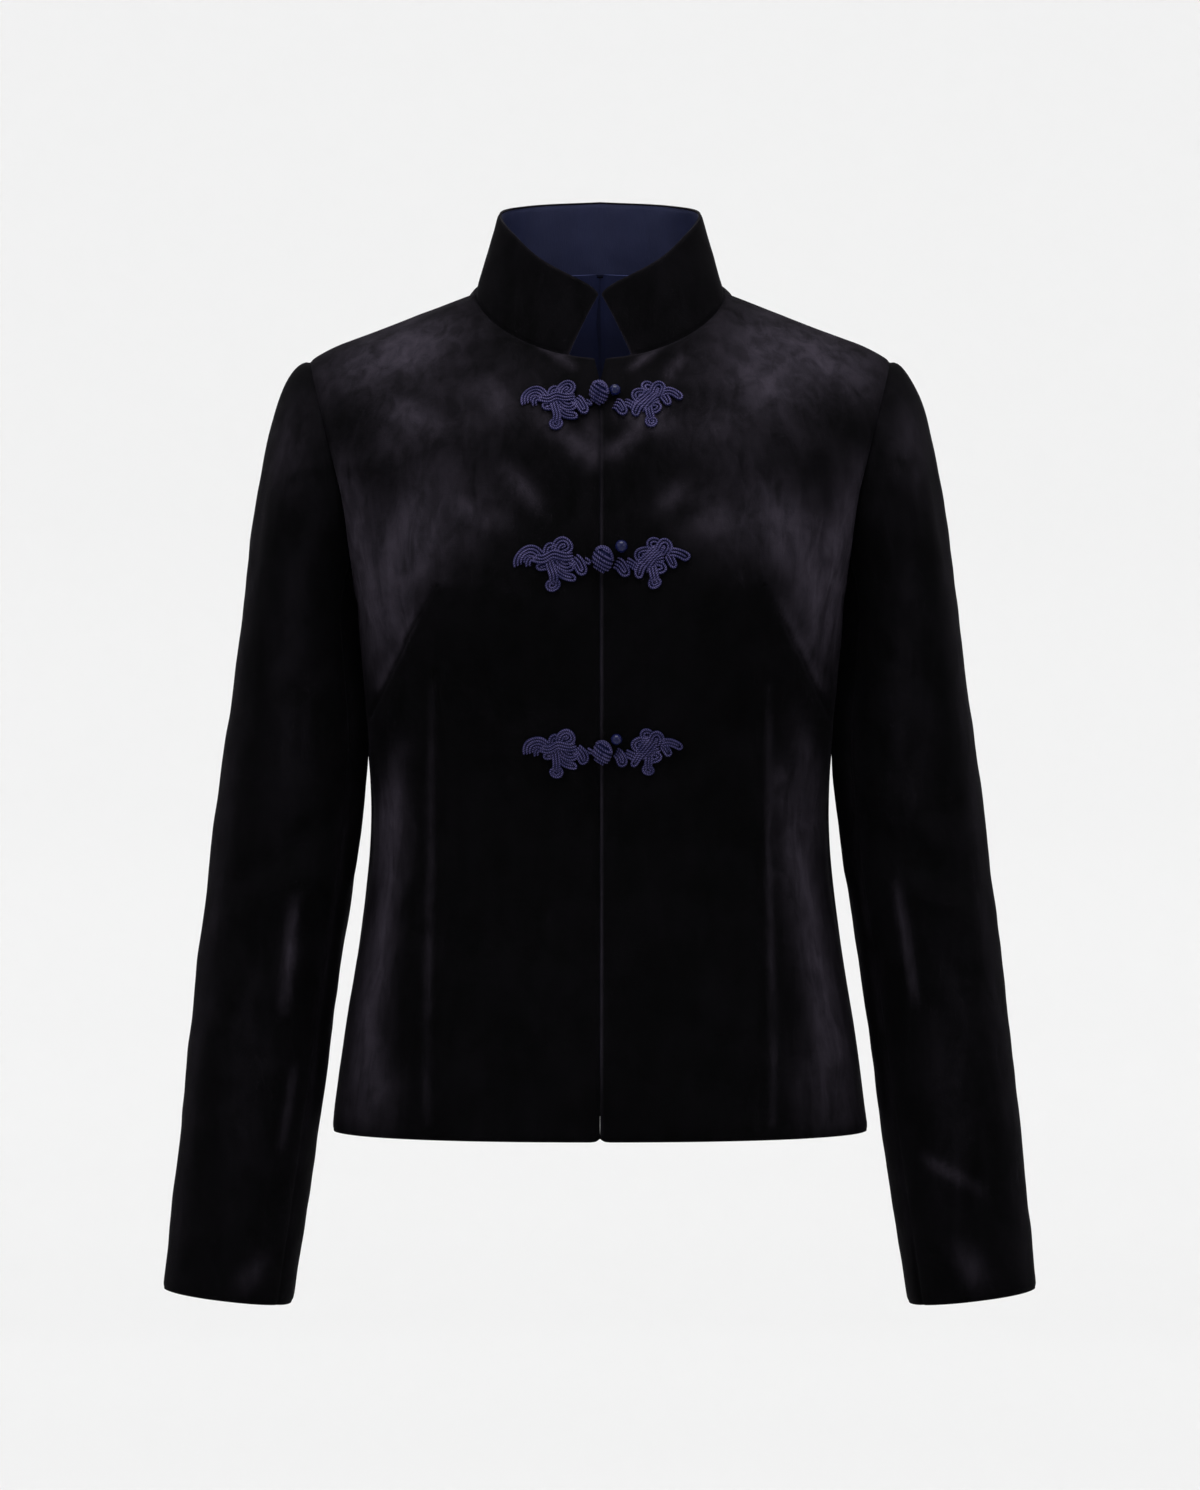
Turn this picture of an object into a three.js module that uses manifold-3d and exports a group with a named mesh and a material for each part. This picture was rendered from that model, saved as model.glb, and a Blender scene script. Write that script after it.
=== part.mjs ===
import * as THREE from "three";
import { mergeVertices } from "three/addons/utils/BufferGeometryUtils.js";
import Module from "manifold-3d";

// A women's velvet jacket with a stand collar, in the hollow shape it has when worn.
// Millimetres, +Z up. The front faces -Y and the wearer's left is +X.
// The origin is midway between the two points where the shoulder seams meet the collar.

const wasm = await Module();
wasm.setup();

// Driving sizes
const CLOTH = 2.2; // velvet with its lining
const COLLAR_CLOTH = 1.6;
const LINING = 1.0;
const SEAM_GAP = 0.3;
const HEM_Z = -556;
const UNDERARM_Z = -198;
const CHEST_Z = -130;
const SIDE_Y = 4;
const ARMHOLE_REACH = { front: 60, back: 62 };
const NECK = { half: 82.5, middleY: 2, front: 64, back: 60, drop: 47, rise: 19 };
const SHOULDER = { tipX: 193.5, tipY: 8, slope: 0.37, roundFrom: 168, round: 0.0058 };
// The way the cloth runs where it ends: at the centre, at the neck's side and at the shoulder's tip.
const TOP_RUNS = {
  front: [[0, 0.66, 0.75], [-0.32, 0.82, 0.46], [0, 1, 0]],
  back: [[0, -0.42, 0.9], [-0.5, -0.85, -0.02], [0, -1, 0]],
};
const TOP_EASE = 0.72; // how strongly the cloth's end follows that way
const NECK_SHARE = 0.4; // share of the chest line whose columns end at the neckline
const NECK_TURN = 15; // degrees between the columns that end at the neckline
const NOTCH = { depth: 17, open: 3.7, spread: 12 }; // the fronts part above the first fastening
const HEM_CORNER = 5; // the radius of a front's lower corner
const EDGE = 0.0008; // pulls a panel's edge back from its seam by about half the seam gap

// How many steps each grid takes.
const GRID = {
  shoulder: 6,
  hemToUnderarm: 10,
  underarmToChest: 4,
  chestToTop: 5,
  liningFrom: 1.5,
  sleeveTop: 14,
  sleeveUnder: 6,
  sleeveDown: 11,
  collarUp: 3,
};

// Sections of the body from hem to chest line: half widths, and depths before and behind the side line.
const BODY_SECTIONS = [
  { name: "hem", z: -556, frontHalf: 178, backHalf: 178, front: 120, back: 118, power: 2.3 },
  { name: "hip", z: -500, frontHalf: 171, backHalf: 171, front: 117, back: 114, power: 2.3 },
  { name: "high hip", z: -430, frontHalf: 160, backHalf: 160, front: 111, back: 101, power: 2.3 },
  { name: "waist", z: -360, frontHalf: 152.8, backHalf: 152.8, front: 107, back: 90, power: 2.3 },
  { name: "ribs", z: -300, frontHalf: 154, backHalf: 154, front: 112, back: 92, power: 2.35 },
  { name: "bust", z: -240, frontHalf: 158.5, backHalf: 158.5, front: 119, back: 101, power: 2.4 },
  { name: "underarm", z: -198, frontHalf: 163.3, backHalf: 163.3, front: 122, back: 107, power: 2.5 },
  { name: "armpit", z: -165, frontHalf: 175, backHalf: 177, front: 119, back: 110, power: 2.55 },
  { name: "chest", z: -130, frontHalf: 187.8, backHalf: 193, front: 110, back: 110, power: 2.6 },
];

// Soft mounds that the cut gives: the bust from its darts, the shoulder blades from the back's ease.
const MOUNDS = {
  front: { x: 92, z: -222, wide: 50, tall: 50, high: 13 },
  back: { x: 80, z: -120, wide: 52, tall: 60, high: 5 },
};

// Soft folds, as troughs (negative) or ridges, along a line on the piece from one point to the other.
// They are lower at the line's ends, by FOLD_ENDS.
const FOLD_ENDS = { share: 0.35, rise: 2.6 };
const FRONT_FOLDS = [
  { name: "side hollow", x0: 140, z0: -300, x1: 146, z1: -560, wide: 15, high: -3.6 },
  { name: "side swell", x0: 122, z0: -400, x1: 112, z1: -560, wide: 17, high: 2.6 },
  { name: "bust dart pull", x0: 152, z0: -280, x1: 112, z1: -205, wide: 8, high: -2.2 },
  { name: "armhole drape", x0: 150, z0: -150, x1: 140, z1: -235, wide: 12, high: 2.4 },
  { name: "chest hollow", x0: 60, z0: -95, x1: 52, z1: -165, wide: 20, high: -2.2 },
];
const BACK_FOLDS = [
  { name: "side hollow", x0: 138, z0: -310, x1: 148, z1: -560, wide: 16, high: -3.4 },
  { name: "waist hollow", x0: 84, z0: -300, x1: 84, z1: -430, wide: 16, high: -2.4 },
  { name: "hip swell", x0: 104, z0: -410, x1: 112, z1: -560, wide: 18, high: 2.4 },
  { name: "blade drape", x0: 150, z0: -120, x1: 138, z1: -230, wide: 14, high: 2.6 },
];

// Sections of the sleeve from biceps to cuff: its least and greatest x, half depth, middle y and tilt.
const SLEEVE_SECTIONS = [
  { name: "biceps", z: -215, inner: 163.6, outer: 238, deep: 60, y: 2, tilt: 0 },
  { name: "upper arm", z: -256, inner: 159.4, outer: 243, deep: 59, y: 3, tilt: 1 },
  { name: "above elbow", z: -300, inner: 156.4, outer: 249, deep: 57.5, y: 4, tilt: 2.5 },
  { name: "elbow", z: -370, inner: 162, outer: 257.4, deep: 56, y: 4, tilt: 4.5 },
  { name: "below elbow", z: -450, inner: 173.6, outer: 266.7, deep: 53.5, y: 0, tilt: 6 },
  { name: "forearm", z: -530, inner: 184, outer: 275.3, deep: 50, y: -7, tilt: 7 },
  { name: "wrist", z: -610, inner: 195.5, outer: 283.3, deep: 46, y: -14, tilt: 7 },
  { name: "cuff", z: -664, inner: 203.4, outer: 288.6, deep: 43, y: -19, tilt: 7 },
];
const SLEEVE_POWER = 2.15;
const SLEEVE_GIRTH = 52; // a sleeve's mean radius, to measure its folds round it
// A sleeve's own folds. turn is degrees round from its outer side, through the front.
const SLEEVE_FOLDS = [
  { name: "elbow front", turn0: 60, z0: -390, turn1: 128, z1: -350, wide: 11, high: -3.2 },
  { name: "elbow ridge", turn0: 50, z0: -418, turn1: 130, z1: -384, wide: 11, high: 2.4 },
  { name: "elbow low", turn0: 68, z0: -452, turn1: 122, z1: -420, wide: 10, high: -2.2 },
  { name: "forearm front", turn0: 100, z0: -420, turn1: 122, z1: -505, wide: 8, high: 2.2 },
  { name: "wrist front", turn0: 112, z0: -540, turn1: 104, z1: -640, wide: 9, high: 1.8 },
  { name: "elbow back", turn0: -150, z0: -352, turn1: -60, z1: -392, wide: 12, high: -2.8 },
  { name: "cap ease", turn0: 30, z0: -110, turn1: 34, z1: -190, wide: 9, high: -1.4 },
];
const SLEEVE_SEAM = { front: 0.2, back: 1.72 }; // round the armhole, 0 underarm, 1 shoulder, 2 underarm
// How the sleeve leaves the armhole: outwards at the underarm and shoulder, forwards and down.
// Its folds start between calm and free, as shares of the cap.
const CAP = { lowOut: 4, highOut: 88, forward: 26, down: 10, end: 150, calm: 0.1, free: 0.4 };
const CAP_ROWS = [0, 0.08, 0.18, 0.32, 0.5, 0.74, 1];
const SLEEVE_STANDOFF = 0.4;

// The collar's upper edge against the angle from the centre front.
const COLLAR_TOP = [
  { turn: 0, y: -47, z: -1 },
  { turn: 18, y: -45, z: 8.8 },
  { turn: 36, y: -37.5, z: 20 },
  { turn: 60, y: -21, z: 38.5 },
  { turn: 90, y: 5, z: 53 },
  { turn: 135, y: 42, z: 62.5 },
  { turn: 180, y: 57, z: 66.5 },
];
const COLLAR_TOP_HALF = 67.6;
const COLLAR_END = { baseX: 20.6, topX: 0.9, round: 0.8, drop: 0.1 };
const COLLAR_FRONT_TURNS = [170, 174, 177, 179, 180];

// The fastenings: height, size and hand-made tilt of each, and where its knot and its bead lie.
const FROGS = [
  { name: "top", z: -79, size: 0.96, tilt: 1.5, knotX: -0.8, knotZ: 4.6, beadX: 9.8, beadZ: 6.6 },
  { name: "middle", z: -182, size: 1.04, tilt: -1, knotX: 1.6, knotZ: 0, beadX: 13.6, beadZ: 8.4 },
  { name: "bottom", z: -304, size: 0.94, tilt: 0, knotX: 1.4, knotZ: -1.4, beadX: 10.6, beadZ: 7.2 },
];
// A petal's section from its middle to its rim: a coil of cord, as shares of its size and heights in mm.
const PETAL_SECTION = [
  { reach: 0, high: 1.7 },
  { reach: 0.52, high: 3.0 },
  { reach: 1, high: 1.5 },
  { reach: 0.96, high: 0 },
  { reach: 0, high: 0 },
];
// Petals of one half of a fastening, before its size is applied. x runs away from the front edge.
// side is 1 for the wearer's left alone, -1 for the right alone and 0 for both.
const PETALS = [
  { name: "leaf", side: 0, x: 46.8, z: 2.6, wide: 7.6, tall: 5.2, turn: -26 },
  { name: "leaf's foot", side: 0, x: 39.2, z: 1.2, wide: 5.2, tall: 3.6, turn: 4 },
  { name: "upper outer curl", side: 0, x: 33.4, z: 8.4, wide: 4.8, tall: 4.2, turn: 0 },
  { name: "upper inner curl", side: 0, x: 24.4, z: 9.0, wide: 6.4, tall: 4.8, turn: 24 },
  { name: "heart", side: 0, x: 29.4, z: 0.6, wide: 8.8, tall: 6.4, turn: -18 },
  { name: "lower outer petal", side: 0, x: 36.6, z: -5.0, wide: 5.0, tall: 3.4, turn: 24 },
  { name: "lower inner petal", side: 0, x: 23.2, z: -8.0, wide: 5.8, tall: 3.6, turn: -30 },
  { name: "drop", side: 0, x: 31.2, z: -12.6, wide: 5.9, tall: 6.3, turn: 0 },
  { name: "neck of the drop", side: 0, x: 30.2, z: -6.4, wide: 4.4, tall: 3.8, turn: 0 },
  { name: "link", side: -1, x: 14.0, z: -1.6, wide: 7.8, tall: 4.4, turn: -36 },
  { name: "loop", side: 1, x: 15.0, z: -3.6, wide: 7.6, tall: 4.6, turn: 30 },
];
const PETAL_SIDES = 8;
const PETAL_LIFT = 0.45; // clear of the velvet's flat facets where it is hollow
const FUSE_STEP = 0.13; // neighbouring petals lie this much higher, so that they cross cleanly
const KNOT = { wide: 6.4, tall: 8.2, deep: 4.4, across: 10, along: 10 };
const BEAD = { radius: 3.9, across: 10, along: 8 };
const BALL_LIFT = 0.4;

// The colours are read from the photograph.
const VELVET = new THREE.MeshStandardMaterial({ color: 0x141318, roughness: 0.85, metalness: 0 });
const SATIN = new THREE.MeshStandardMaterial({ color: 0x1b1e38, roughness: 0.45, metalness: 0 });
const BRAID = new THREE.MeshStandardMaterial({ color: 0x3a355c, roughness: 0.6, metalness: 0 });
const GLOSS = new THREE.MeshStandardMaterial({ color: 0x161a3c, roughness: 0.15, metalness: 0 });

const rad = THREE.MathUtils.degToRad;
const mix = THREE.MathUtils.lerp;
const smooth = (x, low, high) => THREE.MathUtils.smoothstep(x, low, high);

// A smooth curve through one column of a table, read at a place along another column.
function read(rows, place, column, at) {
  const ordered = rows[0][place] < rows[rows.length - 1][place] ? rows : [...rows].reverse();
  const last = ordered.length - 1;
  let i = 0;
  while (i < last - 1 && at > ordered[i + 1][place]) i += 1;
  const [a, b] = [ordered[i], ordered[i + 1]];
  const span = b[place] - a[place];
  const slope = (row, before, after) => (after[column] - before[column]) / (after[place] - before[place]);
  const slopeA = i > 0 ? slope(a, ordered[i - 1], b) : slope(a, a, b);
  const slopeB = i < last - 1 ? slope(b, a, ordered[i + 2]) : slope(b, a, b);
  const t = THREE.MathUtils.clamp((at - a[place]) / span, 0, 1);
  return hermite(a[column], slopeA * span, b[column], slopeB * span, t);
}

function hermite(from, leave, to, arrive, t) {
  const [t2, t3] = [t * t, t * t * t];
  const ends = (2 * t3 - 3 * t2 + 1) * from + (3 * t2 - 2 * t3) * to;
  return ends + (t3 - 2 * t2 + t) * leave + (t3 - t2) * arrive;
}

function hermitePoint(from, leave, to, arrive, t) {
  const one = (axis) => hermite(from[axis], leave[axis], to[axis], arrive[axis], t);
  return new THREE.Vector3(one("x"), one("y"), one("z"));
}

// One point of a body section. across runs from the centre line to the side seam or the armhole.
function sectionPoint(side, across, z) {
  const half = read(BODY_SECTIONS, "z", side + "Half", z);
  const depth = read(BODY_SECTIONS, "z", side, z);
  const power = read(BODY_SECTIONS, "z", "power", z);
  const edge = armholeEdge(side, z) / depth;
  const share = Math.sin(across * Math.asin((1 - edge ** power) ** (1 / power)));
  const out = depth * Math.max(0, 1 - Math.abs(share) ** power) ** (1 / power);
  const mound = MOUNDS[side];
  const x = half * share;
  const away = Math.hypot((x - mound.x) / mound.wide, (z - mound.z) / mound.tall);
  const bump = mound.high * Math.exp(-away * away) * (out / depth);
  const forward = side === "front" ? -1 : 1;
  return new THREE.Vector3(x, SIDE_Y + forward * (out + bump), z);
}

// How far the armhole's edge stands in front of, or behind, the side line at this height.
function armholeEdge(side, z) {
  if (z <= UNDERARM_Z) return 0;
  const rise = (CHEST_Z - z) / (CHEST_Z - UNDERARM_Z);
  return ARMHOLE_REACH[side] * Math.sqrt(1 - rise * rise);
}

// The neckline's ring: turn is 0 at the centre front, 90 at the neck's side and 180 at the centre back.
function neckPoint(turn) {
  const along = Math.cos(rad(turn));
  const bow = along * along;
  const x = NECK.half * Math.sin(rad(turn));
  const y = NECK.middleY - (along * (NECK.front + NECK.back) + bow * (NECK.front - NECK.back)) / 2;
  const z = -(along * (NECK.drop + NECK.rise) + bow * (NECK.drop - NECK.rise)) / 2;
  return new THREE.Vector3(x, y, z);
}

function shoulderPoint(share) {
  const x = mix(NECK.half, SHOULDER.tipX, share);
  const y = mix(NECK.middleY, SHOULDER.tipY, share);
  const z = -SHOULDER.slope * (x - NECK.half) - SHOULDER.round * Math.max(0, x - SHOULDER.roundFrom) ** 2;
  return new THREE.Vector3(x, y, z);
}

// Where a column of the body ends, at the neckline or shoulder seam, and which way the cloth runs there.
function topEnd(side, across) {
  const [centre, corner, tip] = TOP_RUNS[side].map((run) => new THREE.Vector3(...run));
  if (across <= NECK_SHARE) {
    const share = across / NECK_SHARE;
    const turn = side === "front" ? 90 * share : 180 - 90 * share;
    return { point: neckPoint(turn), run: centre.lerp(corner, share).normalize() };
  }
  const share = (across - NECK_SHARE) / (1 - NECK_SHARE);
  return { point: shoulderPoint(share), run: corner.lerp(tip, share).normalize() };
}

// A point of the body's surface on the wearer's left. up runs 0 hem, 1 underarm, 2 chest line, 3 top edge.
function bodyPoint(side, across, up) {
  if (up <= 1) return sectionPoint(side, across, mix(HEM_Z, UNDERARM_Z, up));
  if (up <= 2) {
    const swing = Math.cos(rad(90 * (up - 1)));
    return sectionPoint(side, across, CHEST_Z - (CHEST_Z - UNDERARM_Z) * swing);
  }
  const from = sectionPoint(side, across, CHEST_Z);
  const below = sectionPoint(side, across, CHEST_Z - 0.5);
  const { point, run } = topEnd(side, across);
  const span = from.distanceTo(point);
  const leave = from.clone().sub(below).normalize().multiplyScalar(span);
  return hermitePoint(from, leave, point, run.multiplyScalar(TOP_EASE * span), up - 2);
}

// How far a table's folds lift the cloth at a point, by its distance from each fold's line.
function foldHeight(folds, x, z) {
  let lift = 0;
  for (const fold of folds) {
    const [dx, dz] = [fold.x1 - fold.x0, fold.z1 - fold.z0];
    const along = ((x - fold.x0) * dx + (z - fold.z0) * dz) / (dx * dx + dz * dz);
    const held = THREE.MathUtils.clamp(along, 0, 1);
    const away = Math.hypot(x - fold.x0 - held * dx, z - fold.z0 - held * dz) / fold.wide;
    const fullness = Math.min(1, FOLD_ENDS.share + FOLD_ENDS.rise * held * (1 - held));
    lift += fold.high * Math.exp(-away * away) * fullness;
  }
  return lift;
}

// A front panel: it stands clear of the centre line, which opens into a notch at the neck.
function frontSurface(across, up) {
  const point = bodyPoint("front", across, up);
  const top = -NECK.drop;
  const open = up > 2 ? NOTCH.open * THREE.MathUtils.clamp((point.z - top) / NOTCH.depth + 1, 0, 1) : 0;
  const corner = up === 0 ? Math.max(0, HEM_CORNER - point.x) : 0;
  point.x += SEAM_GAP / 2 + open * Math.exp(-((point.x / NOTCH.spread) ** 2));
  point.z += (corner * corner) / (2 * HEM_CORNER);
  return point;
}

// The whole back: across runs from -1 to 1 over the centre back.
function backSurface(across, up) {
  const point = bodyPoint("back", Math.abs(across), up);
  point.x *= across < 0 ? -1 : 1;
  return point;
}

// One half of the back's lining, clear of its own centre seam.
function backLiningSurface(across, up) {
  const point = bodyPoint("back", across, up);
  point.x += SEAM_GAP / 2;
  return point;
}

// The armhole's ring on the wearer's left. round is 0 at the underarm, 1 at the shoulder, 2 back underarm.
function armholePoint(round) {
  return round <= 1 ? bodyPoint("front", 1, 1 + 2 * round) : bodyPoint("back", 1, 1 + 2 * (2 - round));
}

function sleeveSection(round, z) {
  const turn = rad(180 * (1 - round));
  const [inner, outer] = ["inner", "outer"].map((edge) => read(SLEEVE_SECTIONS, "z", edge, z));
  const [deep, y, tilt] = ["deep", "y", "tilt"].map((column) => read(SLEEVE_SECTIONS, "z", column, z));
  const round2 = (value) => Math.sign(value) * Math.abs(value) ** (2 / SLEEVE_POWER);
  const out = ((outer - inner) / 2) * round2(Math.cos(turn));
  const forward = deep * round2(Math.sin(turn));
  return new THREE.Vector3((inner + outer) / 2 + out, y - forward, z + out * Math.sin(rad(tilt)));
}

// A point of the sleeve: down runs 0 armhole, 1 biceps, 2 cuff.
function sleeveSurface(round, down) {
  const biceps = SLEEVE_SECTIONS[0].z;
  const cuff = SLEEVE_SECTIONS[SLEEVE_SECTIONS.length - 1].z;
  if (down >= 1) return sleeveSection(round, mix(biceps, cuff, down - 1));
  const from = armholePoint(round);
  from.x += SLEEVE_STANDOFF;
  const to = sleeveSection(round, biceps);
  const below = sleeveSection(round, biceps - 1);
  const high = (1 - Math.cos(Math.PI * round)) / 2;
  const front = Math.sin(Math.PI * round);
  const leave = new THREE.Vector3(mix(CAP.lowOut, CAP.highOut, high), -CAP.forward * front, -CAP.down);
  const arrive = below.sub(to).normalize().multiplyScalar(mix(from.distanceTo(to), CAP.end, high * high));
  return hermitePoint(from, leave, to, arrive, down);
}

function sleeveFoldHeight(round, point) {
  const girth = SLEEVE_GIRTH;
  const turn = 180 * (1 - round);
  const unrolled = SLEEVE_FOLDS.map((fold) => ({
    ...fold,
    x0: rad(fold.turn0) * girth,
    x1: rad(fold.turn1) * girth,
  }));
  return foldHeight(unrolled, rad(turn) * girth, point.z);
}

// The collar's outer face. around is degrees from the centre back, below 0 on the wearer's right.
// The last stretch before 180 ends at the slanting front edge. up runs from 0 to 1.
function collarSurface(around, up) {
  const last = 180 - NECK_TURN;
  const endX = mix(COLLAR_END.baseX, COLLAR_END.topX, up);
  const endTurn = THREE.MathUtils.radToDeg(Math.asin(endX / mix(NECK.half, COLLAR_TOP_HALF, up)));
  const share = THREE.MathUtils.clamp((Math.abs(around) - last) / NECK_TURN, 0, 1);
  const turn = Math.abs(around) < last ? 180 - Math.abs(around) : mix(NECK_TURN, endTurn, share);
  const corner = THREE.MathUtils.clamp((share - 1 + COLLAR_END.round) / COLLAR_END.round, 0, 1);
  const height = up * (1 - COLLAR_END.drop * (1 - Math.sqrt(1 - corner * corner)));
  const base = neckPoint(turn);
  const [y, z] = ["y", "z"].map((column) => read(COLLAR_TOP, "turn", column, turn));
  const rise = new THREE.Vector3(COLLAR_TOP_HALF * Math.sin(rad(turn)), y, z).sub(base);
  const point = base.addScaledVector(rise, height).addScaledVector(rise.normalize(), SEAM_GAP);
  point.x *= around < 0 ? -1 : 1;
  return point;
}

const steps = (from, to, count) => Array.from({ length: count + 1 }, (_, i) => mix(from, to, i / count));

const INSET = 2e-3; // a normal is taken this far inside a grid's own edges
const SEEK = { steps: 12, h: 1e-4, across: 0.3, upLow: 0.5, upHigh: 2.2, lastAcross: 0.98, lastUp: 2.99 };

// The unit normal of a surface, by the difference of near points.
function normalAt(surface, u, v, sign) {
  const h = 1e-3;
  const du = surface(u + h, v).sub(surface(u - h, v));
  const dv = surface(u, v + h).sub(surface(u, v - h));
  return du.cross(dv).normalize().multiplyScalar(sign);
}

// A closed wall on a grid of a surface: its outer face, its inner face and the rim between them.
function wall(surface, sign, us, vs, outer, inner, lift = () => 0) {
  const inside = (value, list) => THREE.MathUtils.clamp(value, list[0] + INSET, list.at(-1) - INSET);
  const points = [];
  for (const offset of [outer, inner])
    for (const v of vs)
      for (const u of us) {
        const at = surface(u, v);
        const normal = normalAt(surface, inside(u, us), inside(v, vs), sign);
        points.push(at.addScaledVector(normal, offset + lift(u, v, at)));
      }
  const across = us.length;
  const layer = across * vs.length;
  const faces = [];
  const quad = (a, b, c, d) => faces.push(a, b, c, a, c, d);
  // The quads of the wearer's right are split the other way, as a mirrored piece's are.
  for (let j = 0; j + 1 < vs.length; j += 1)
    for (let i = 0; i + 1 < across; i += 1) {
      const [a, b] = [j * across + i, j * across + i + 1];
      const [c, d] = [b + across, a + across];
      if (us[i] < 0) {
        quad(b, c, d, a);
        quad(layer + b, layer + a, layer + d, layer + c);
      } else {
        quad(a, b, c, d);
        quad(layer + a, layer + d, layer + c, layer + b);
      }
    }
  const rim = [];
  for (let i = 0; i < across; i += 1) rim.push(i);
  for (let j = 1; j < vs.length; j += 1) rim.push(j * across + across - 1);
  for (let i = across - 2; i >= 0; i -= 1) rim.push((vs.length - 1) * across + i);
  for (let j = vs.length - 2; j > 0; j -= 1) rim.push(j * across);
  rim.forEach((a, i) => {
    const b = rim[(i + 1) % rim.length];
    quad(b, a, layer + a, layer + b);
  });
  return closedGeometry(points, faces);
}

// Points and faces as a geometry whose faces point outwards.
function closedGeometry(points, faces) {
  let volume = 0;
  for (let i = 0; i < faces.length; i += 3) {
    const [a, b, c] = [points[faces[i]], points[faces[i + 1]], points[faces[i + 2]]];
    volume += a.dot(b.clone().cross(c));
  }
  const index = volume < 0 ? [...faces].reverse() : faces;
  return new THREE.BufferGeometry().setFromPoints(points).setIndex(index);
}

function mirrored(geometry) {
  const copy = geometry.clone().applyMatrix4(new THREE.Matrix4().makeScale(-1, 1, 1));
  return copy.setIndex([...copy.index.array].reverse());
}

function toSolid(geometry) {
  const bare = geometry.clone();
  bare.deleteAttribute("normal");
  bare.deleteAttribute("uv");
  const merged = mergeVertices(bare, 1e-4);
  return new wasm.Manifold(
    new wasm.Mesh({
      numProp: 3,
      vertProperties: merged.attributes.position.array,
      triVerts: new Uint32Array(merged.index.array),
    }),
  );
}

function toGeometry(solid) {
  const mesh = solid.getMesh();
  const positions = new Float32Array(mesh.vertProperties);
  return new THREE.BufferGeometry()
    .setAttribute("position", new THREE.BufferAttribute(positions, 3))
    .setIndex(new THREE.BufferAttribute(new Uint32Array(mesh.triVerts), 1));
}

// The front's surface at this x and z, with its normal, found by stepping towards it across the surface.
function onFront(x, z) {
  let across = SEEK.across;
  let up = z < UNDERARM_Z ? SEEK.upLow : SEEK.upHigh;
  const reach = Math.abs(x);
  const { h } = SEEK;
  for (let i = 0; i < SEEK.steps; i += 1) {
    const at = bodyPoint("front", across, up);
    const du = bodyPoint("front", across + h, up).sub(at).divideScalar(h);
    const dv = bodyPoint("front", across, up + h).sub(at).divideScalar(h);
    const [ex, ez] = [reach - at.x, z - at.z];
    const scale = du.x * dv.z - du.z * dv.x;
    across = THREE.MathUtils.clamp(across + (ex * dv.z - ez * dv.x) / scale, 0, SEEK.lastAcross);
    up = THREE.MathUtils.clamp(up + (du.x * ez - du.z * ex) / scale, 3 - SEEK.lastUp, SEEK.lastUp);
  }
  const normal = normalAt((u, v) => bodyPoint("front", u, v), Math.max(across, INSET), up, 1);
  const point = bodyPoint("front", across, up).addScaledVector(normal, foldHeight(FRONT_FOLDS, reach, z));
  if (x < 0) {
    point.x *= -1;
    normal.x *= -1;
  }
  return { point, normal };
}

// A petal of coiled cord, laid on the front by its fastening's place, size and tilt.
function petalSolid(frog, petal, side, lift) {
  const profile = PETAL_SECTION.map(({ reach, high }) => new THREE.Vector2(reach, -high));
  const shape = new THREE.LatheGeometry(side > 0 ? profile.reverse() : profile, PETAL_SIDES);
  const turned = new THREE.Matrix4().makeRotationZ(rad(petal.turn));
  const placed = new THREE.Matrix4().makeTranslation(petal.x, petal.z, 0).multiply(turned);
  const whole = new THREE.Matrix4().makeRotationZ(rad(frog.tilt)).scale(new THREE.Vector3(side, 1, 1));
  shape.rotateX(Math.PI / 2).scale(petal.wide, petal.tall, 1).applyMatrix4(whole.multiply(placed));
  const place = shape.getAttribute("position");
  for (let i = 0; i < place.count; i += 1) {
    const { point, normal } = onFront(frog.size * place.getX(i), frog.z + frog.size * place.getY(i));
    point.addScaledVector(normal, lift + Math.abs(place.getZ(i)));
    place.setXYZ(i, point.x, point.y, point.z);
  }
  return toSolid(shape);
}

// One half of a fastening: its petals fused into one solid, lying just clear of the velvet.
function motif(frog, side) {
  const own = PETALS.filter((petal) => petal.side !== -side);
  const petals = own.map((petal, i) => petalSolid(frog, petal, side, PETAL_LIFT + FUSE_STEP * (i % 3)));
  return toGeometry(petals.reduce((all, petal) => all.add(petal)));
}

// A ball that lies on the front, stretched along x, the cloth's normal and z.
function ball(x, z, size, { wide, deep, tall, across, along }) {
  const shape = new THREE.SphereGeometry(1, across, along).rotateX(Math.PI / 2);
  const { point, normal } = onFront(x, z);
  const up = new THREE.Vector3(0, 0, 1).addScaledVector(normal, -normal.z).normalize();
  const right = up.clone().cross(normal);
  const turned = new THREE.Matrix4().makeBasis(right, normal.clone().negate(), up);
  const middle = point.addScaledVector(normal, deep * size + BALL_LIFT);
  const stretched = shape.scale(wide * size, deep * size, tall * size);
  return toGeometry(toSolid(stretched.applyMatrix4(turned).translate(middle.x, middle.y, middle.z)));
}

const jacket = new THREE.Group();

function add(name, geometry, material) {
  const mesh = new THREE.Mesh(geometry, material);
  mesh.name = name;
  jacket.add(mesh);
}

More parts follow.
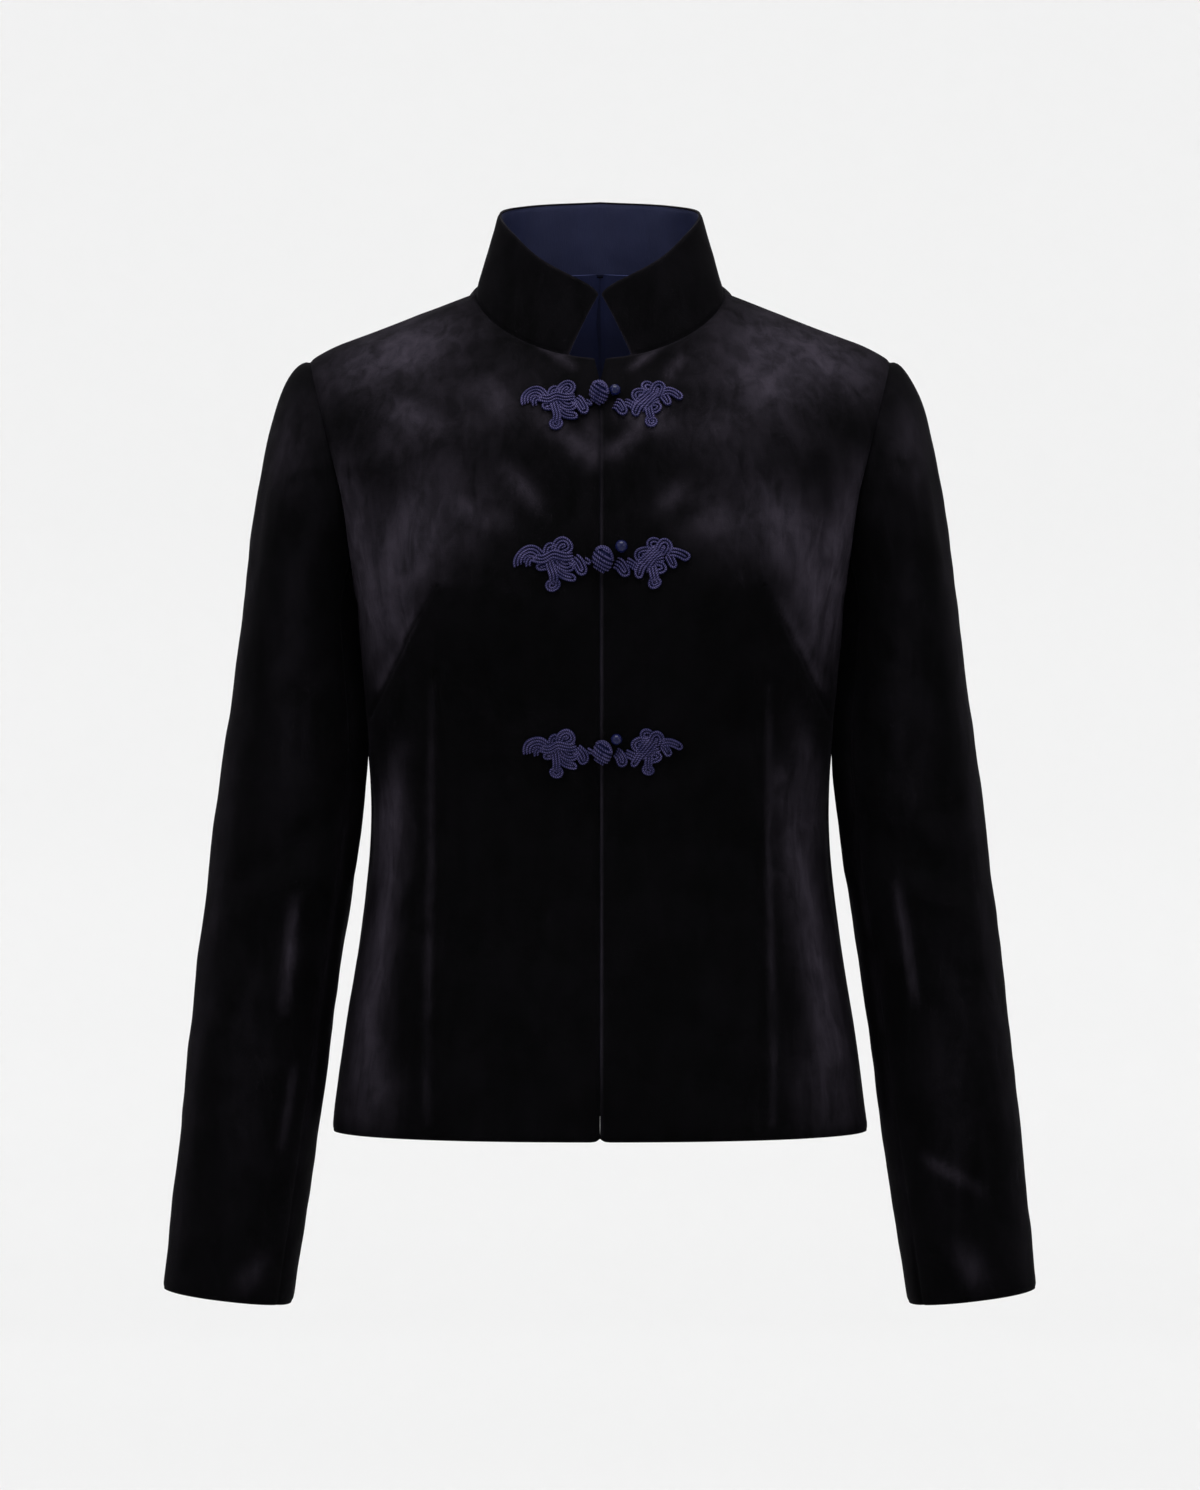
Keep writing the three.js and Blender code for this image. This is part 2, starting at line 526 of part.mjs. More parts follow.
// The grids: columns from the centre line to the armhole, and rows from hem to top.
const NECK_COLUMNS = 90 / NECK_TURN;
const SHOULDER_COLUMNS = steps(NECK_SHARE, 1 - EDGE, GRID.shoulder).slice(1);
const BODY_COLUMNS = [...steps(0, NECK_SHARE, NECK_COLUMNS), ...SHOULDER_COLUMNS];
const WHOLE_BACK_COLUMNS = [...BODY_COLUMNS.slice(1).map((u) => -u).reverse(), ...BODY_COLUMNS];
const TOP_ROW = 3 - 3 * EDGE;
const BODY_ROWS = [
  ...steps(0, 1, GRID.hemToUnderarm),
  ...steps(1, 2, GRID.underarmToChest).slice(1),
  ...steps(2, TOP_ROW, GRID.chestToTop).slice(1),
];
const LINING_ROWS = BODY_ROWS.filter((row) => row >= GRID.liningFrom);

function addBody() {
  const frontLift = (u, v, at) => foldHeight(FRONT_FOLDS, at.x, at.z);
  const front = wall(frontSurface, 1, BODY_COLUMNS, BODY_ROWS, 0, -CLOTH, frontLift);
  add("front_left", front, VELVET);
  add("front_right", mirrored(front), VELVET);
  const backLift = (u, v, at) => foldHeight(BACK_FOLDS, Math.abs(at.x), at.z);
  add("back", wall(backSurface, -1, WHOLE_BACK_COLUMNS, BODY_ROWS, 0, -CLOTH, backLift), VELVET);
  const outer = -CLOTH - SEAM_GAP;
  const lining = wall(backLiningSurface, -1, BODY_COLUMNS, LINING_ROWS, outer, outer - LINING, backLift);
  add("back_lining_left", lining, SATIN);
  add("back_lining_right", mirrored(lining), SATIN);
}

function addSleeves() {
  const rows = [...CAP_ROWS, ...steps(1, 2, GRID.sleeveDown).slice(1)];
  const { front, back } = SLEEVE_SEAM;
  const sheets = [
    { name: "sleeve_top", columns: steps(front + EDGE, back - EDGE, GRID.sleeveTop) },
    { name: "sleeve_under", columns: steps(back - 2 + EDGE, front - EDGE, GRID.sleeveUnder) },
  ];
  for (const { name, columns } of sheets) {
    const around = (u) => (u < 0 ? u + 2 : u);
    const lift = (u, v, at) => sleeveFoldHeight(around(u), at) * smooth(v, CAP.calm, CAP.free);
    const sheet = wall((u, v) => sleeveSurface(around(u), v), -1, columns, rows, 0, -CLOTH, lift);
    add(`${name}_left`, sheet, VELVET);
    add(`${name}_right`, mirrored(sheet), VELVET);
  }
}

function addCollar() {
  const half = [...steps(0, 180 - NECK_TURN, 180 / NECK_TURN - 1), ...COLLAR_FRONT_TURNS];
  const around = [...half.slice(1).map((turn) => -turn).reverse(), ...half];
  const up = steps(0, 1, GRID.collarUp);
  add("collar", wall(collarSurface, -1, around, up, 0, -COLLAR_CLOTH), VELVET);
  const outer = -COLLAR_CLOTH - SEAM_GAP;
  add("collar_lining", wall(collarSurface, -1, around, up, outer, outer - LINING), SATIN);
}

function addFrogs() {
  const bead = { ...BEAD, wide: BEAD.radius, deep: BEAD.radius, tall: BEAD.radius };
  for (const frog of FROGS) {
    add(`frog_${frog.name}_left`, motif(frog, 1), BRAID);
    add(`frog_${frog.name}_right`, motif(frog, -1), BRAID);
    add(`knot_${frog.name}`, ball(frog.knotX, frog.z + frog.knotZ, frog.size, KNOT), BRAID);
    add(`bead_${frog.name}`, ball(frog.beadX, frog.z + frog.beadZ, frog.size, bead), GLOSS);
  }
}

addBody();
addSleeves();
addCollar();
addFrogs();

export default jacket;
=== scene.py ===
"""Builds the visible model of a women's velvet jacket: cloth, lining, collar, cord fastenings and beads."""

import math
import random

import bmesh
import bpy
import numpy as np
from bpy.props import FloatProperty, FloatVectorProperty, PointerProperty
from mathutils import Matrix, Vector, noise
from mathutils.bvhtree import BVHTree


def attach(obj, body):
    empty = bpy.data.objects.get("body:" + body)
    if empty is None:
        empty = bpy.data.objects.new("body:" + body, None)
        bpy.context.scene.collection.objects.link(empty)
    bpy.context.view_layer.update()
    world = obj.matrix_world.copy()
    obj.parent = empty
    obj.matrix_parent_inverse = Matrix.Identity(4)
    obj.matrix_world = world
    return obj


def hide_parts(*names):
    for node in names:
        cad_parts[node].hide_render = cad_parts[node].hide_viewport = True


bl_info = {
    "name": "Velvet Jacket",
    "version": (1, 0, 0),
    "blender": (4, 5, 0),
    "location": "View3D > Sidebar > Jacket",
    "description": "Adds a fitted velvet jacket with a stand collar and knotted cord fastenings",
    "category": "Add Mesh",
}

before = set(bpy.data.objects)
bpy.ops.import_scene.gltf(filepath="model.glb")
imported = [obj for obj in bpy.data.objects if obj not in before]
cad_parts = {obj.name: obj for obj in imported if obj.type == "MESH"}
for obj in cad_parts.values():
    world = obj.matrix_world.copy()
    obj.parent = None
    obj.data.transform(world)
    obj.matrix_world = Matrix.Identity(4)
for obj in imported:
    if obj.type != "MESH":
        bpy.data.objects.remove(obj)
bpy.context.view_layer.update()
BODY = "root"
MM = 0.001
SIDES = (("left", 1), ("right", -1))
MIRROR = np.array([-1, 1, 1])

# The tables below are in millimetres. The front faces -Y and the wearer's left is +X.


def table(columns, *rows):
    """A table as one array for each named column."""
    return dict(zip(columns.split(), np.array(rows, float).T))


def rows_of(columns, *rows):
    """A table as one dictionary for each row."""
    return [dict(zip(columns.split(), row)) for row in rows]


HEM_Z = -556
UNDERARM_Z = -198
CHEST_Z = -130
SIDE_Y = 4
ARMHOLE_REACH = {"front": 60, "back": 62}
NECK = {"half": 82.5, "middle_y": 2, "front": 64, "back": 60, "drop": 47, "rise": 19}
SHOULDER = {"tip_x": 193.5, "tip_y": 8, "slope": 0.37, "round_from": 168, "round": 0.0058}
TOP_RUNS = {
    "front": np.array([[0, 0.66, 0.75], [-0.32, 0.82, 0.46], [0, 1, 0]]),
    "back": np.array([[0, -0.42, 0.9], [-0.5, -0.85, -0.02], [0, -1, 0]]),
}
TOP_EASE = 0.72
NECK_SHARE = 0.4
NOTCH = {"depth": 17, "open": 3.7, "spread": 12}
FRONT_GAP = 0.08
HEM_CORNER = 5
# The front edge is faced with velvet on its inside, this far in and from this height down.
FACING = {"wide": 40, "top": -90}

# Rough lengths of cloth, by which the spacing of a piece's points is chosen. The fronts' points lie closer,
# because their darts show most.
BODY_SPANS = {"across": 200, "armhole": 90, "top": 150}
SLEEVE_SPANS = {"cap": 110, "top": 235, "under": 80}
FRONT_FINER = 0.7
COLLAR_COLUMNS = 66
COLLAR_ROWS = 0.07
# Extra points beside a seam, as shares of the spacing.
CLOSE_ROWS = (0.14, 0.3, 0.5, 0.72)

BODY_SECTIONS = table(
    "z front_half back_half front back power",
    (-556, 178, 178, 120, 118, 2.3),
    (-500, 171, 171, 117, 114, 2.3),
    (-430, 160, 160, 111, 101, 2.3),
    (-360, 152.8, 152.8, 107, 90, 2.3),
    (-300, 154, 154, 112, 92, 2.35),
    (-240, 158.5, 158.5, 119, 101, 2.4),
    (-198, 163.3, 163.3, 122, 107, 2.5),
    (-165, 175, 177, 119, 110, 2.55),
    (-130, 187.8, 193, 110, 110, 2.6),
)
MOUNDS = {
    "front": {"x": 92, "z": -222, "wide": 50, "tall": 50, "high": 13},
    "back": {"x": 80, "z": -120, "wide": 52, "tall": 60, "high": 5},
}

# Folds run along a line on a piece. side is 1 on the wearer's left, -1 on the right and 0 on both.
# wide is half a fold's width and high its height, which is below 0 for a trough.
FOLD_COLUMNS = "name side x0 z0 x1 z1 wide high"
FRONT_FOLDS = rows_of(
    FOLD_COLUMNS,
    ("side hollow", 0, 140, -300, 146, -560, 15, -3.6),
    ("side swell", 0, 122, -400, 112, -560, 17, 2.6),
    ("bust dart pull", 0, 152, -280, 112, -205, 8, -2.2),
    ("armhole drape", 0, 150, -150, 140, -235, 12, 2.4),
    ("chest hollow", 0, 60, -95, 52, -165, 20, -2.2),
    ("outer collar pull", 1, 62, -34, 44, -66, 3.4, -1.0),
    ("inner collar pull", 1, 38, -44, 26, -60, 3.0, -0.9),
    ("inner collar pull", -1, 40, -42, 17, -58, 3.2, -1.1),
    ("outer collar pull", -1, 66, -30, 47, -60, 4.0, -0.7),
    ("front drag", 1, 34, -100, 12, -140, 7, 0.9),
    ("front drag", -1, 38, -98, 8, -150, 8, 1.0),
    ("low front drag", -1, 26, -120, 20, -168, 6, -0.8),
    ("chest ripple", 1, 118, -70, 96, -150, 11, 0.9),
    ("chest ripple", -1, 110, -78, 92, -160, 12, 1.0),
    ("armhole crease", 1, 168, -118, 132, -196, 6, -1.3),
    ("armhole crease", -1, 170, -110, 140, -190, 6.5, -1.2),
    ("underarm crease", 1, 158, -205, 120, -238, 6, -1.1),
    ("underarm crease", -1, 158, -210, 124, -250, 6.5, -1.2),
    ("dart ridge", 0, 142, -292, 118, -228, 6, 1.1),
    ("side streak", 1, 112, -312, 150, -470, 8, 1.5),
    ("side streak", -1, 112, -318, 152, -492, 9, 1.4),
    ("low side streak", 1, 118, -420, 158, -548, 9, 1.2),
    ("low side streak", -1, 124, -410, 160, -540, 9, 1.3),
    ("waist crease", 1, 150, -345, 112, -362, 7, -1.2),
    ("waist crease", -1, 152, -338, 118, -356, 7, -1.1),
    ("low waist crease", 1, 148, -384, 120, -404, 7, -0.8),
    ("low waist crease", -1, 148, -380, 124, -396, 6, -0.8),
    ("side ease", 0, 156, -206, 152, -352, 12, 0.9),
    ("belly ease", 1, 40, -420, 56, -540, 22, 1.0),
    ("belly ease", -1, 44, -430, 50, -545, 20, 0.9),
)
BACK_FOLDS = rows_of(
    FOLD_COLUMNS,
    ("side hollow", 0, 138, -310, 148, -560, 16, -3.4),
    ("waist hollow", 0, 84, -300, 84, -430, 16, -2.4),
    ("hip swell", 0, 104, -410, 112, -560, 18, 2.4),
    ("blade drape", 0, 150, -120, 138, -230, 14, 2.6),
    ("waist crease", 1, 140, -338, 92, -352, 8, -1.2),
    ("waist crease", -1, 138, -344, 98, -354, 8, -1.1),
    ("middle waist crease", 1, 62, -330, 8, -338, 8, -0.9),
    ("middle waist crease", -1, 58, -352, 14, -350, 8, -0.8),
    ("low waist crease", 1, 118, -384, 60, -398, 8, -0.8),
    ("low waist crease", -1, 126, -378, 72, -386, 7, -0.9),
    ("armhole crease", 1, 166, -118, 128, -206, 7, -1.2),
    ("armhole crease", -1, 168, -126, 134, -214, 7, -1.1),
    ("neck ease", 1, 40, -6, 34, -60, 12, -0.7),
    ("neck ease", -1, 44, -6, 30, -66, 12, -0.8),
    ("seat ease", 1, 44, -430, 52, -545, 22, 1.0),
    ("seat ease", -1, 40, -440, 48, -548, 22, 0.9),
)
# Darts are stitched lines: a fine trough with a little swell at each side.
DART_COLUMNS = "name x0 z0 x1 z1 x2 z2 deep"
FRONT_DARTS = rows_of(
    DART_COLUMNS,
    ("waist dart", 104, -252, 105, -350, 107, -543, 1.0),
    ("bust dart", 151, -281, 127, -228, 106, -198, 1.2),
)
BACK_DARTS = rows_of(
    DART_COLUMNS,
    ("waist dart", 78, -196, 80, -345, 84, -520, 1.0),
    ("shoulder dart", 118, -18, 114, -50, 108, -84, 0.7),
)
# dark_wide and dark set how wide and how strong the painted shade along a dart's trough is.
DART = {"wide": 1.6, "swell": 5.5, "swell_share": 0.34, "dark_wide": 1.7, "dark": 0.92}

SLEEVE_SECTIONS = table(
    "z inner outer deep y tilt",
    (-215, 163.6, 238, 60, 2, 0),
    (-256, 159.4, 243, 59, 3, 1),
    (-300, 156.4, 249, 57.5, 4, 2.5),
    (-370, 162, 257.4, 56, 4, 4.5),
    (-450, 173.6, 266.7, 53.5, 0, 6),
    (-530, 184, 275.3, 50, -7, 7),
    (-610, 195.5, 283.3, 46, -14, 7),
    (-664, 203.4, 288.6, 43, -19, 7),
)
BICEPS_Z = -215
CUFF_Z = -664
SLEEVE_POWER = 2.15
SLEEVE_GIRTH = 52
# On a sleeve x is degrees round from its outer side, through the front.
SLEEVE_FOLDS = rows_of(
    FOLD_COLUMNS,
    ("elbow front", 0, 60, -390, 128, -350, 11, -3.2),
    ("elbow ridge", 0, 50, -418, 130, -384, 11, 2.4),
    ("elbow low", 0, 68, -452, 122, -420, 10, -2.2),
    ("forearm front", 0, 100, -420, 122, -505, 8, 2.2),
    ("wrist front", 0, 112, -540, 104, -640, 9, 1.8),
    ("elbow back", 0, -150, -352, -60, -392, 12, -2.8),
    ("cap ease", 0, 30, -110, 34, -190, 9, -1.4),
    ("cap ripple", 1, 64, -112, 74, -176, 7, 1.0),
    ("cap ripple", -1, 58, -120, 70, -186, 7, 1.0),
    ("biceps crease", 1, 132, -226, 74, -262, 7, -1.4),
    ("biceps crease", -1, 134, -232, 78, -276, 7, -1.4),
    ("upper arm drape", 1, 100, -150, 92, -300, 10, 1.3),
    ("upper arm drape", -1, 104, -160, 90, -320, 10, 1.2),
    ("elbow crescent", 1, 64, -566, 112, -592, 6, 1.5),
    ("elbow fine crease", 1, 96, -400, 60, -408, 4, 1.0),
    ("elbow fine crease", -1, 112, -398, 96, -470, 4.5, 1.6),
    ("forearm crease", -1, 104, -512, 112, -552, 4, 1.3),
    ("cuff crease", -1, 130, -640, 96, -634, 5, 0.9),
    ("cuff crease", 1, 120, -632, 92, -640, 6, 0.9),
    ("outer drape", 0, 8, -300, 14, -470, 14, 1.0),
    ("inner drape", 0, 166, -140, 166, -380, 12, 4.7),
    ("back elbow fine crease", 0, -130, -372, -80, -372, 6, -1.3),
    ("back elbow low", 0, -140, -398, -84, -420, 9, -1.7),
    ("back upper drape", 0, -96, -180, -90, -320, 12, 1.4),
    ("back cap ripple", 0, -60, -110, -72, -180, 9, 1.1),
)
SLEEVE_SEAM = {"front": 0.2, "back": 1.72}
# Just under the armhole the sleeve presses on the body's side so that no light passes, fully up to inner_x
# and no more from outer_x. There its seam allowance turns out towards the body, and inwards elsewhere.
UNDERARM_PRESS = {"high": 1.6, "inner_x": 168, "outer_x": 178}
SLEEVE_TUCK = {"run": 4.4, "deep": 3.0, "underarm_deep": -1.6}
CAP = {"low_out": 4, "high_out": 88, "forward": 26, "down": 10, "end": 150}

COLLAR_TOP = table(
    "turn y z",
    (0, -47, -1),
    (18, -45, 8.8),
    (36, -37.5, 20),
    (60, -21, 38.5),
    (90, 5, 53),
    (135, 42, 62.5),
    (180, 57, 66.5),
)
COLLAR_TOP_HALF = 67.6
COLLAR_END = {"base_x": 20.6, "top_x": 0.9, "round": 0.8, "drop": 0.1}
COLLAR_LAST = 15
COLLAR_TUCK = {"run": 3.2, "deep": -0.4}
LINING_TUCK = {"run": 1.2, "deep": 0}
COLLAR_LINING_HIGH = 0.975
# The air between the cloth and a loose lining, where the back lining starts on the body's height, and how its
# middle seam draws it in, with a little ease beside it.
LINING_AIR = 0.3
LINING_FROM = 1.5
LINING_SEAM = {"deep": 1.3, "wide": 2.4, "ease": 0.8, "gap": 0.3}

FROGS = rows_of(
    "name z size tilt knot_x knot_z bead_x bead_z",
    ("top", -79, 0.96, 1.5, -0.8, 4.6, 9.8, 6.6),
    ("middle", -182, 1.04, -1, 1.6, 0, 13.6, 8.4),
    ("bottom", -304, 0.94, 0, 1.4, -1.4, 10.6, 7.2),
)
# A half fastening is made of bands of cords that lie side by side. Each follows a line of x, z points,
# before its fastening's size is applied; x runs away from the front edge. cords is how many lie in the
# band, and lift how high it lies over the others. A closed band's cords turn back at its end.
# side is 1 for the wearer's left and -1 for the right.
BANDS = rows_of(
    "name side cords closed lift line",
    (
        "leaf", -1, 4, 0, 0.3,
        ((36.5, 1.6), (40.8, 6.0), (45.6, 6.4), (49.2, 3.6), (49.8, 0.2), (48.8, -1.8)),
    ),
    ("leaf's fold", -1, 2, 0, 0.0, ((38.6, 0.6), (41.8, 2.4), (44.2, 0.4), (43.4, -3.4))),
    ("small curl", -1, 2, 0, 0.5, ((33.4, 1.6), (34.4, 7.4), (31.2, 10.6), (28.0, 8.6), (29.6, 5.4))),
    (
        "big curl", -1, 3, 0, 0.9,
        ((29.0, 3.6), (27.2, 10.2), (22.4, 12.4), (18.6, 9.4), (20.6, 5.6), (25.0, 5.2)),
    ),
    (
        "upper band", -1, 3, 0, 1.5,
        ((40.6, 1.8), (36.6, 0.2), (33.0, 1.0), (29.6, 4.6), (25.6, 2.6), (20.6, 1.4), (16.6, 3.4)),
    ),
    (
        "lower band", -1, 3, 0, 0.8,
        ((15.8, 0.6), (16.4, -3.6), (20.4, -5.4), (24.8, -3.0), (27.6, 0.6), (28.6, 3.0)),
    ),
    ("lower outer petal", -1, 3, 1, 0.4, ((29.0, -1.6), (32.6, -3.4), (36.2, -3.8))),
    ("lower inner petal", -1, 3, 1, 0.4, ((27.2, -2.2), (25.6, -7.6), (21.6, -10.4), (17.4, -10.2))),
    ("heart", -1, 3, 0, 0.1, ((37.0, -2.6), (32.0, -0.4), (26.0, -0.2), (20.0, -1.6))),
    ("drop's neck", -1, 3, 0, 1.3, ((31.2, 1.4), (29.4, -5.0), (28.4, -10.4), (30.4, -14.6))),
    ("link", -1, 4, 1, 1.1, ((16.2, 1.8), (12.6, -0.6), (10.6, -5.4))),
    ("link's side", -1, 2, 1, 0.5, ((19.0, 2.0), (16.6, -1.6), (15.4, -3.2))),
    ("link's end", -1, 2, 1, 0.3, ((9.4, 1.2), (7.6, -0.4), (5.8, -1.6))),
    ("loop", 1, 4, 1, 1.1, ((10.4, -1.2), (13.6, -2.6), (15.2, -7.2))),
    ("loop's root", 1, 3, 0, 0.5, ((17.0, -1.0), (20.8, -2.4), (24.6, -5.0))),
    ("lower inner petal", 1, 3, 1, 0.6, ((28.6, 0.4), (25.6, -4.6), (23.6, -8.4))),
    ("diagonal band", 1, 5, 0, 1.0, ((36.0, 7.0), (31.0, 1.8), (26.2, -3.8))),
    ("inner curl", 1, 3, 0, 0.6, ((33.2, 5.0), (27.6, 7.4), (22.6, 5.0), (24.8, 1.2), (28.8, 1.0))),
    ("upper curl", 1, 2, 0, 0.5, ((34.6, 6.6), (29.6, 8.0), (28.4, 11.8), (31.8, 14.0), (35.2, 11.6))),
    ("upper outer curl", 1, 3, 0, 0.9, ((34.9, 4.6), (36.2, 10.0), (39.8, 11.6), (42.2, 8.2), (39.4, 3.0))),
    ("leaf", 1, 3, 1, 0.7, ((40.6, 4.4), (45.6, 6.2), (50.0, 4.8), (53.6, 2.6))),
    ("leaf's foot", 1, 3, 1, 0.3, ((42.6, 3.4), (44.8, 0.6), (46.2, -1.8))),
    (
        "lower outer curl", 1, 2, 0, 0.4,
        ((34.0, -2.2), (39.4, -2.2), (41.6, -5.0), (37.6, -7.6), (33.4, -6.8)),
    ),
    ("heart", 1, 3, 0, 0.1, ((40.0, 1.6), (34.0, -0.6), (29.6, -4.4))),
    ("drop's neck", 1, 3, 0, 1.1, ((33.2, -3.0), (33.0, -8.8), (33.6, -13.2))),
)
DROPS = rows_of(
    "side x z wide tall turns",
    (-1, 30.4, -15.0, 6.1, 5.4, 2.4),
    (1, 33.8, -13.6, 5.6, 5.0, 2.2),
)
KNOT = {"wide": 6.4, "tall": 8.2, "deep": 4.4, "bands": 6, "lean": 26}
# How a knot's bands are spread along its axis and dip at their front, and how two more cords cross its top.
KNOT_BANDS = {"low": -0.86, "high": 0.8, "dip": 0.2}
KNOT_CROSS = {"turn": 1.2, "top": 0.9, "front": 0.35, "apart": 0.16, "lift": 0.5}
BEAD_HOLE = {"rim": 0.12, "deep": 0.5}
SPIRAL = {"points": 30, "inwards": 0.84, "start": 80}
# The least and most that handwork bends a cord's line, in waves.
CORD_WAVES = {"pace": (0.05, 0.12), "start": (0, 6), "reach": (0.3, 0.55)}
CORD_PITCH = 2.0
CORD_TWIST = {"lobes": 3, "length": 4.2, "swell": 0.11, "sides": 12}

# Painted sheen: where light falls on the pile and it shines, as lines of x, z points like the folds, high
# from 0 to 1.
FRONT_PAINTED_SHEEN = rows_of(
    FOLD_COLUMNS,
    ("shoulder", -1, 92, -26, 176, -58, 19, 0.85),
    ("shoulder", 1, 86, -22, 184, -58, 20, 0.85),
    ("below the shoulder", -1, 118, -76, 128, -96, 24, 0.5),
    ("below the shoulder", 1, 79, -50, 128, -78, 20, 0.6),
    ("upper chest", -1, 60, -66, 76, -84, 20, 0.45),
    ("upper chest", 1, 58, -80, 84, -104, 18, 0.35),
    ("chest", -1, 112, -142, 138, -200, 22, 1.1),
    ("chest", 1, 104, -142, 150, -200, 22, 0.9),
    ("inner chest", -1, 78, -142, 84, -160, 20, 0.5),
    ("inner chest", 1, 66, -146, 78, -168, 18, 0.5),
    ("armhole", 0, 170, -122, 142, -250, 13, 1.0),
    ("below the fastening", -1, 42, -84, 6, -116, 6.5, 0.6),
    ("below the fastening", 1, 12, -86, 44, -92, 7, 0.8),
    ("centre", 1, 30, -94, 4, -114, 6, 0.55),
    ("centre", -1, 5, -88, 5, -122, 5, 0.45),
    ("front drag", -1, 60, -122, 36, -152, 6, 0.4),
    ("front drag", 1, 56, -128, 38, -150, 6, 0.3),
    ("above the bust dart", 0, 150, -176, 124, -236, 12, 0.5),
    ("yoke", 0, 70, -90, 150, -110, 62, 0.13),
    ("collar pull", -1, 38, -39, 17, -54, 2.8, 0.75),
    ("collar pull", 1, 40, -40, 21, -54, 2.8, 0.6),
    ("outer collar pull", 1, 54, -46, 43, -62, 3.6, 0.6),
    ("side streak", -1, 133, -335, 160, -540, 11, 0.85),
    ("side streak", 1, 121, -325, 160, -540, 12, 0.9),
    ("upper side streak", -1, 134, -306, 148, -380, 9, 0.6),
    ("upper side streak", 1, 135, -274, 146, -364, 10, 0.6),
    ("low side", -1, 140, -505, 148, -552, 13, 0.3),
    ("low side", 1, 134, -500, 146, -552, 13, 0.3),
    ("front edge", 1, 1.0, -84, 1.0, -552, 0.8, 0.55),
    ("waist dart", 0, 109.2, -262, 111.0, -545, 2.4, 0.3),
    ("bust dart", 0, 145, -262, 116, -208, 3.4, 0.6),
)
BACK_PAINTED_SHEEN = rows_of(
    FOLD_COLUMNS,
    ("shoulder", -1, 78, -20, 176, -56, 22, 0.68),
    ("shoulder", 1, 74, -20, 182, -58, 23, 0.7),
    ("blade", -1, 88, -88, 120, -172, 36, 0.4),
    ("blade", 1, 98, -84, 106, -180, 38, 0.45),
    ("armhole", 0, 168, -120, 146, -244, 14, 0.6),
    ("middle", 1, 18, -96, 26, -270, 24, 0.13),
    ("middle", -1, 26, -110, 14, -250, 22, 0.12),
    ("side streak", -1, 100, -312, 152, -520, 16, 0.62),
    ("side streak", 1, 108, -322, 156, -512, 15, 0.64),
    ("waist", 0, 116, -296, 142, -344, 15, 0.3),
    ("low side", 0, 108, -496, 130, -548, 18, 0.32),
    ("seat", 0, 34, -460, 56, -545, 26, 0.14),
)
SLEEVE_PAINTED_SHEEN = rows_of(
    FOLD_COLUMNS,
    ("cap", 0, 30, -76, 60, -130, 14, 0.3),
    ("outer side", 0, 30, -110, 36, -640, 13, 0.15),
    ("inner side", 0, 142, -250, 146, -620, 7, 0.1),
    ("elbow streak", -1, 105, -400, 109, -474, 4, 0.6),
    ("elbow streak", 1, 110, -392, 108, -470, 3.4, 0.5),
    ("elbow crescent", 1, 117, -571, 75, -592, 4, 0.42),
    ("forearm streak", -1, 124, -512, 122, -562, 3.4, 0.3),
    ("cuff", -1, 118, -640, 100, -655, 8, 0.3),
    ("cuff", 1, 100, -630, 84, -652, 9, 0.35),
    ("forearm", 0, 80, -440, 92, -600, 16, 0.07),
    ("upper arm", 0, 84, -150, 92, -360, 15, 0.08),
    ("back of the elbow", 0, -110, -360, -80, -420, 12, 0.6),
    ("back of the arm", 0, -84, -170, -92, -330, 12, 0.5),
    ("back of the forearm", 0, -88, -450, -94, -620, 12, 0.4),
)
# A little painted sheen over the whole collar, then how wide and how much lighter the pile is painted along
# edges.
COLLAR_PAINTED_SHEEN = 0.02
EDGE_LIGHTER = {"wide": 1.1, "high": 0.22}
# Painted light: the back lining is painted brighter between these heights, up to the neck.
LINING_LIT = {"low_z": -34, "high_z": -6, "low": 0.18, "high": 0.5}

VELVET_LINED = ("black_velvet", "navy_satin")
# How each sheet's own unevenness differs from the others'.
SEEDS = {"front": 5.0, "back": 9.0, "lining": 3.0, "sleeve": 14.0, "collar": 21.0, "collar lining": 23.0}
BODY_SWELL = {"amount": 1.0, "scale": 0.022}
CLOTH_EDGE = math.radians(50)
CORD_EDGE = math.radians(60)

VIEW_Z = -300.6
VIEW_DISTANCE = 3400
VIEW_HEIGHT = 990.85
SENSOR = 36
FLOOR_Z = -1300
# The stage, in metres. Each step of the rim grows outwards by a factor and then rises.
FLOOR_RADIUS = 5.5
RIM_STEPS = ((1.08, 0.05), (1.07, 0.14), (1.055, 0.26), (1.04, 0.42), (1.02, 0.6), (1.0, 3.6))
LAMPS = rows_of(
    "name x y z aim_z wide tall power",
    ("overhead", 0, -0.9, 2.2, -0.3, 2.2, 1.6, 80),
    ("left", -2.6, -2.2, 0.9, -0.3, 1.4, 2.4, 18),
    ("right", 2.6, -2.2, 0.9, -0.3, 1.4, 2.4, 18),
    ("behind", 0, 2.8, 1.8, -0.2, 2.6, 1.6, 26),
)
SKY_STRENGTH = 1.05


def slot_colour(name, description, default):
    """A colour a user may change."""
    return FloatVectorProperty(
        name=name, description=description, subtype="COLOR", size=3, min=0, max=1, default=default
    )


def size(name, description, default):
    """A length a user may change."""
    return FloatProperty(name=name, description=description, unit="LENGTH", min=0, default=default)


class JacketSizes(bpy.types.PropertyGroup):
    """Sizes that a user would change."""

    cloth: size("Cloth", "Thickness of the velvet with its lining", 2.2 * MM)
    collar_cloth: size("Collar cloth", "Thickness of the collar's velvet", 1.6 * MM)
    lining: size("Lining", "Thickness of the satin lining", 1.0 * MM)
    turn_up: size("Turn-up", "Velvet turned up inside the hem and cuffs", 30 * MM)
    seam_depth: size("Seam depth", "How far an edge is drawn in at its seam", 0.9 * MM)
    cord: size("Cord", "Diameter of one cord of a fastening", 1.8 * MM)
    bead: size("Bead", "Radius of a bead", 3.9 * MM)
    grid: size("Grid", "Spacing of the cloth's points", 3.2 * MM)


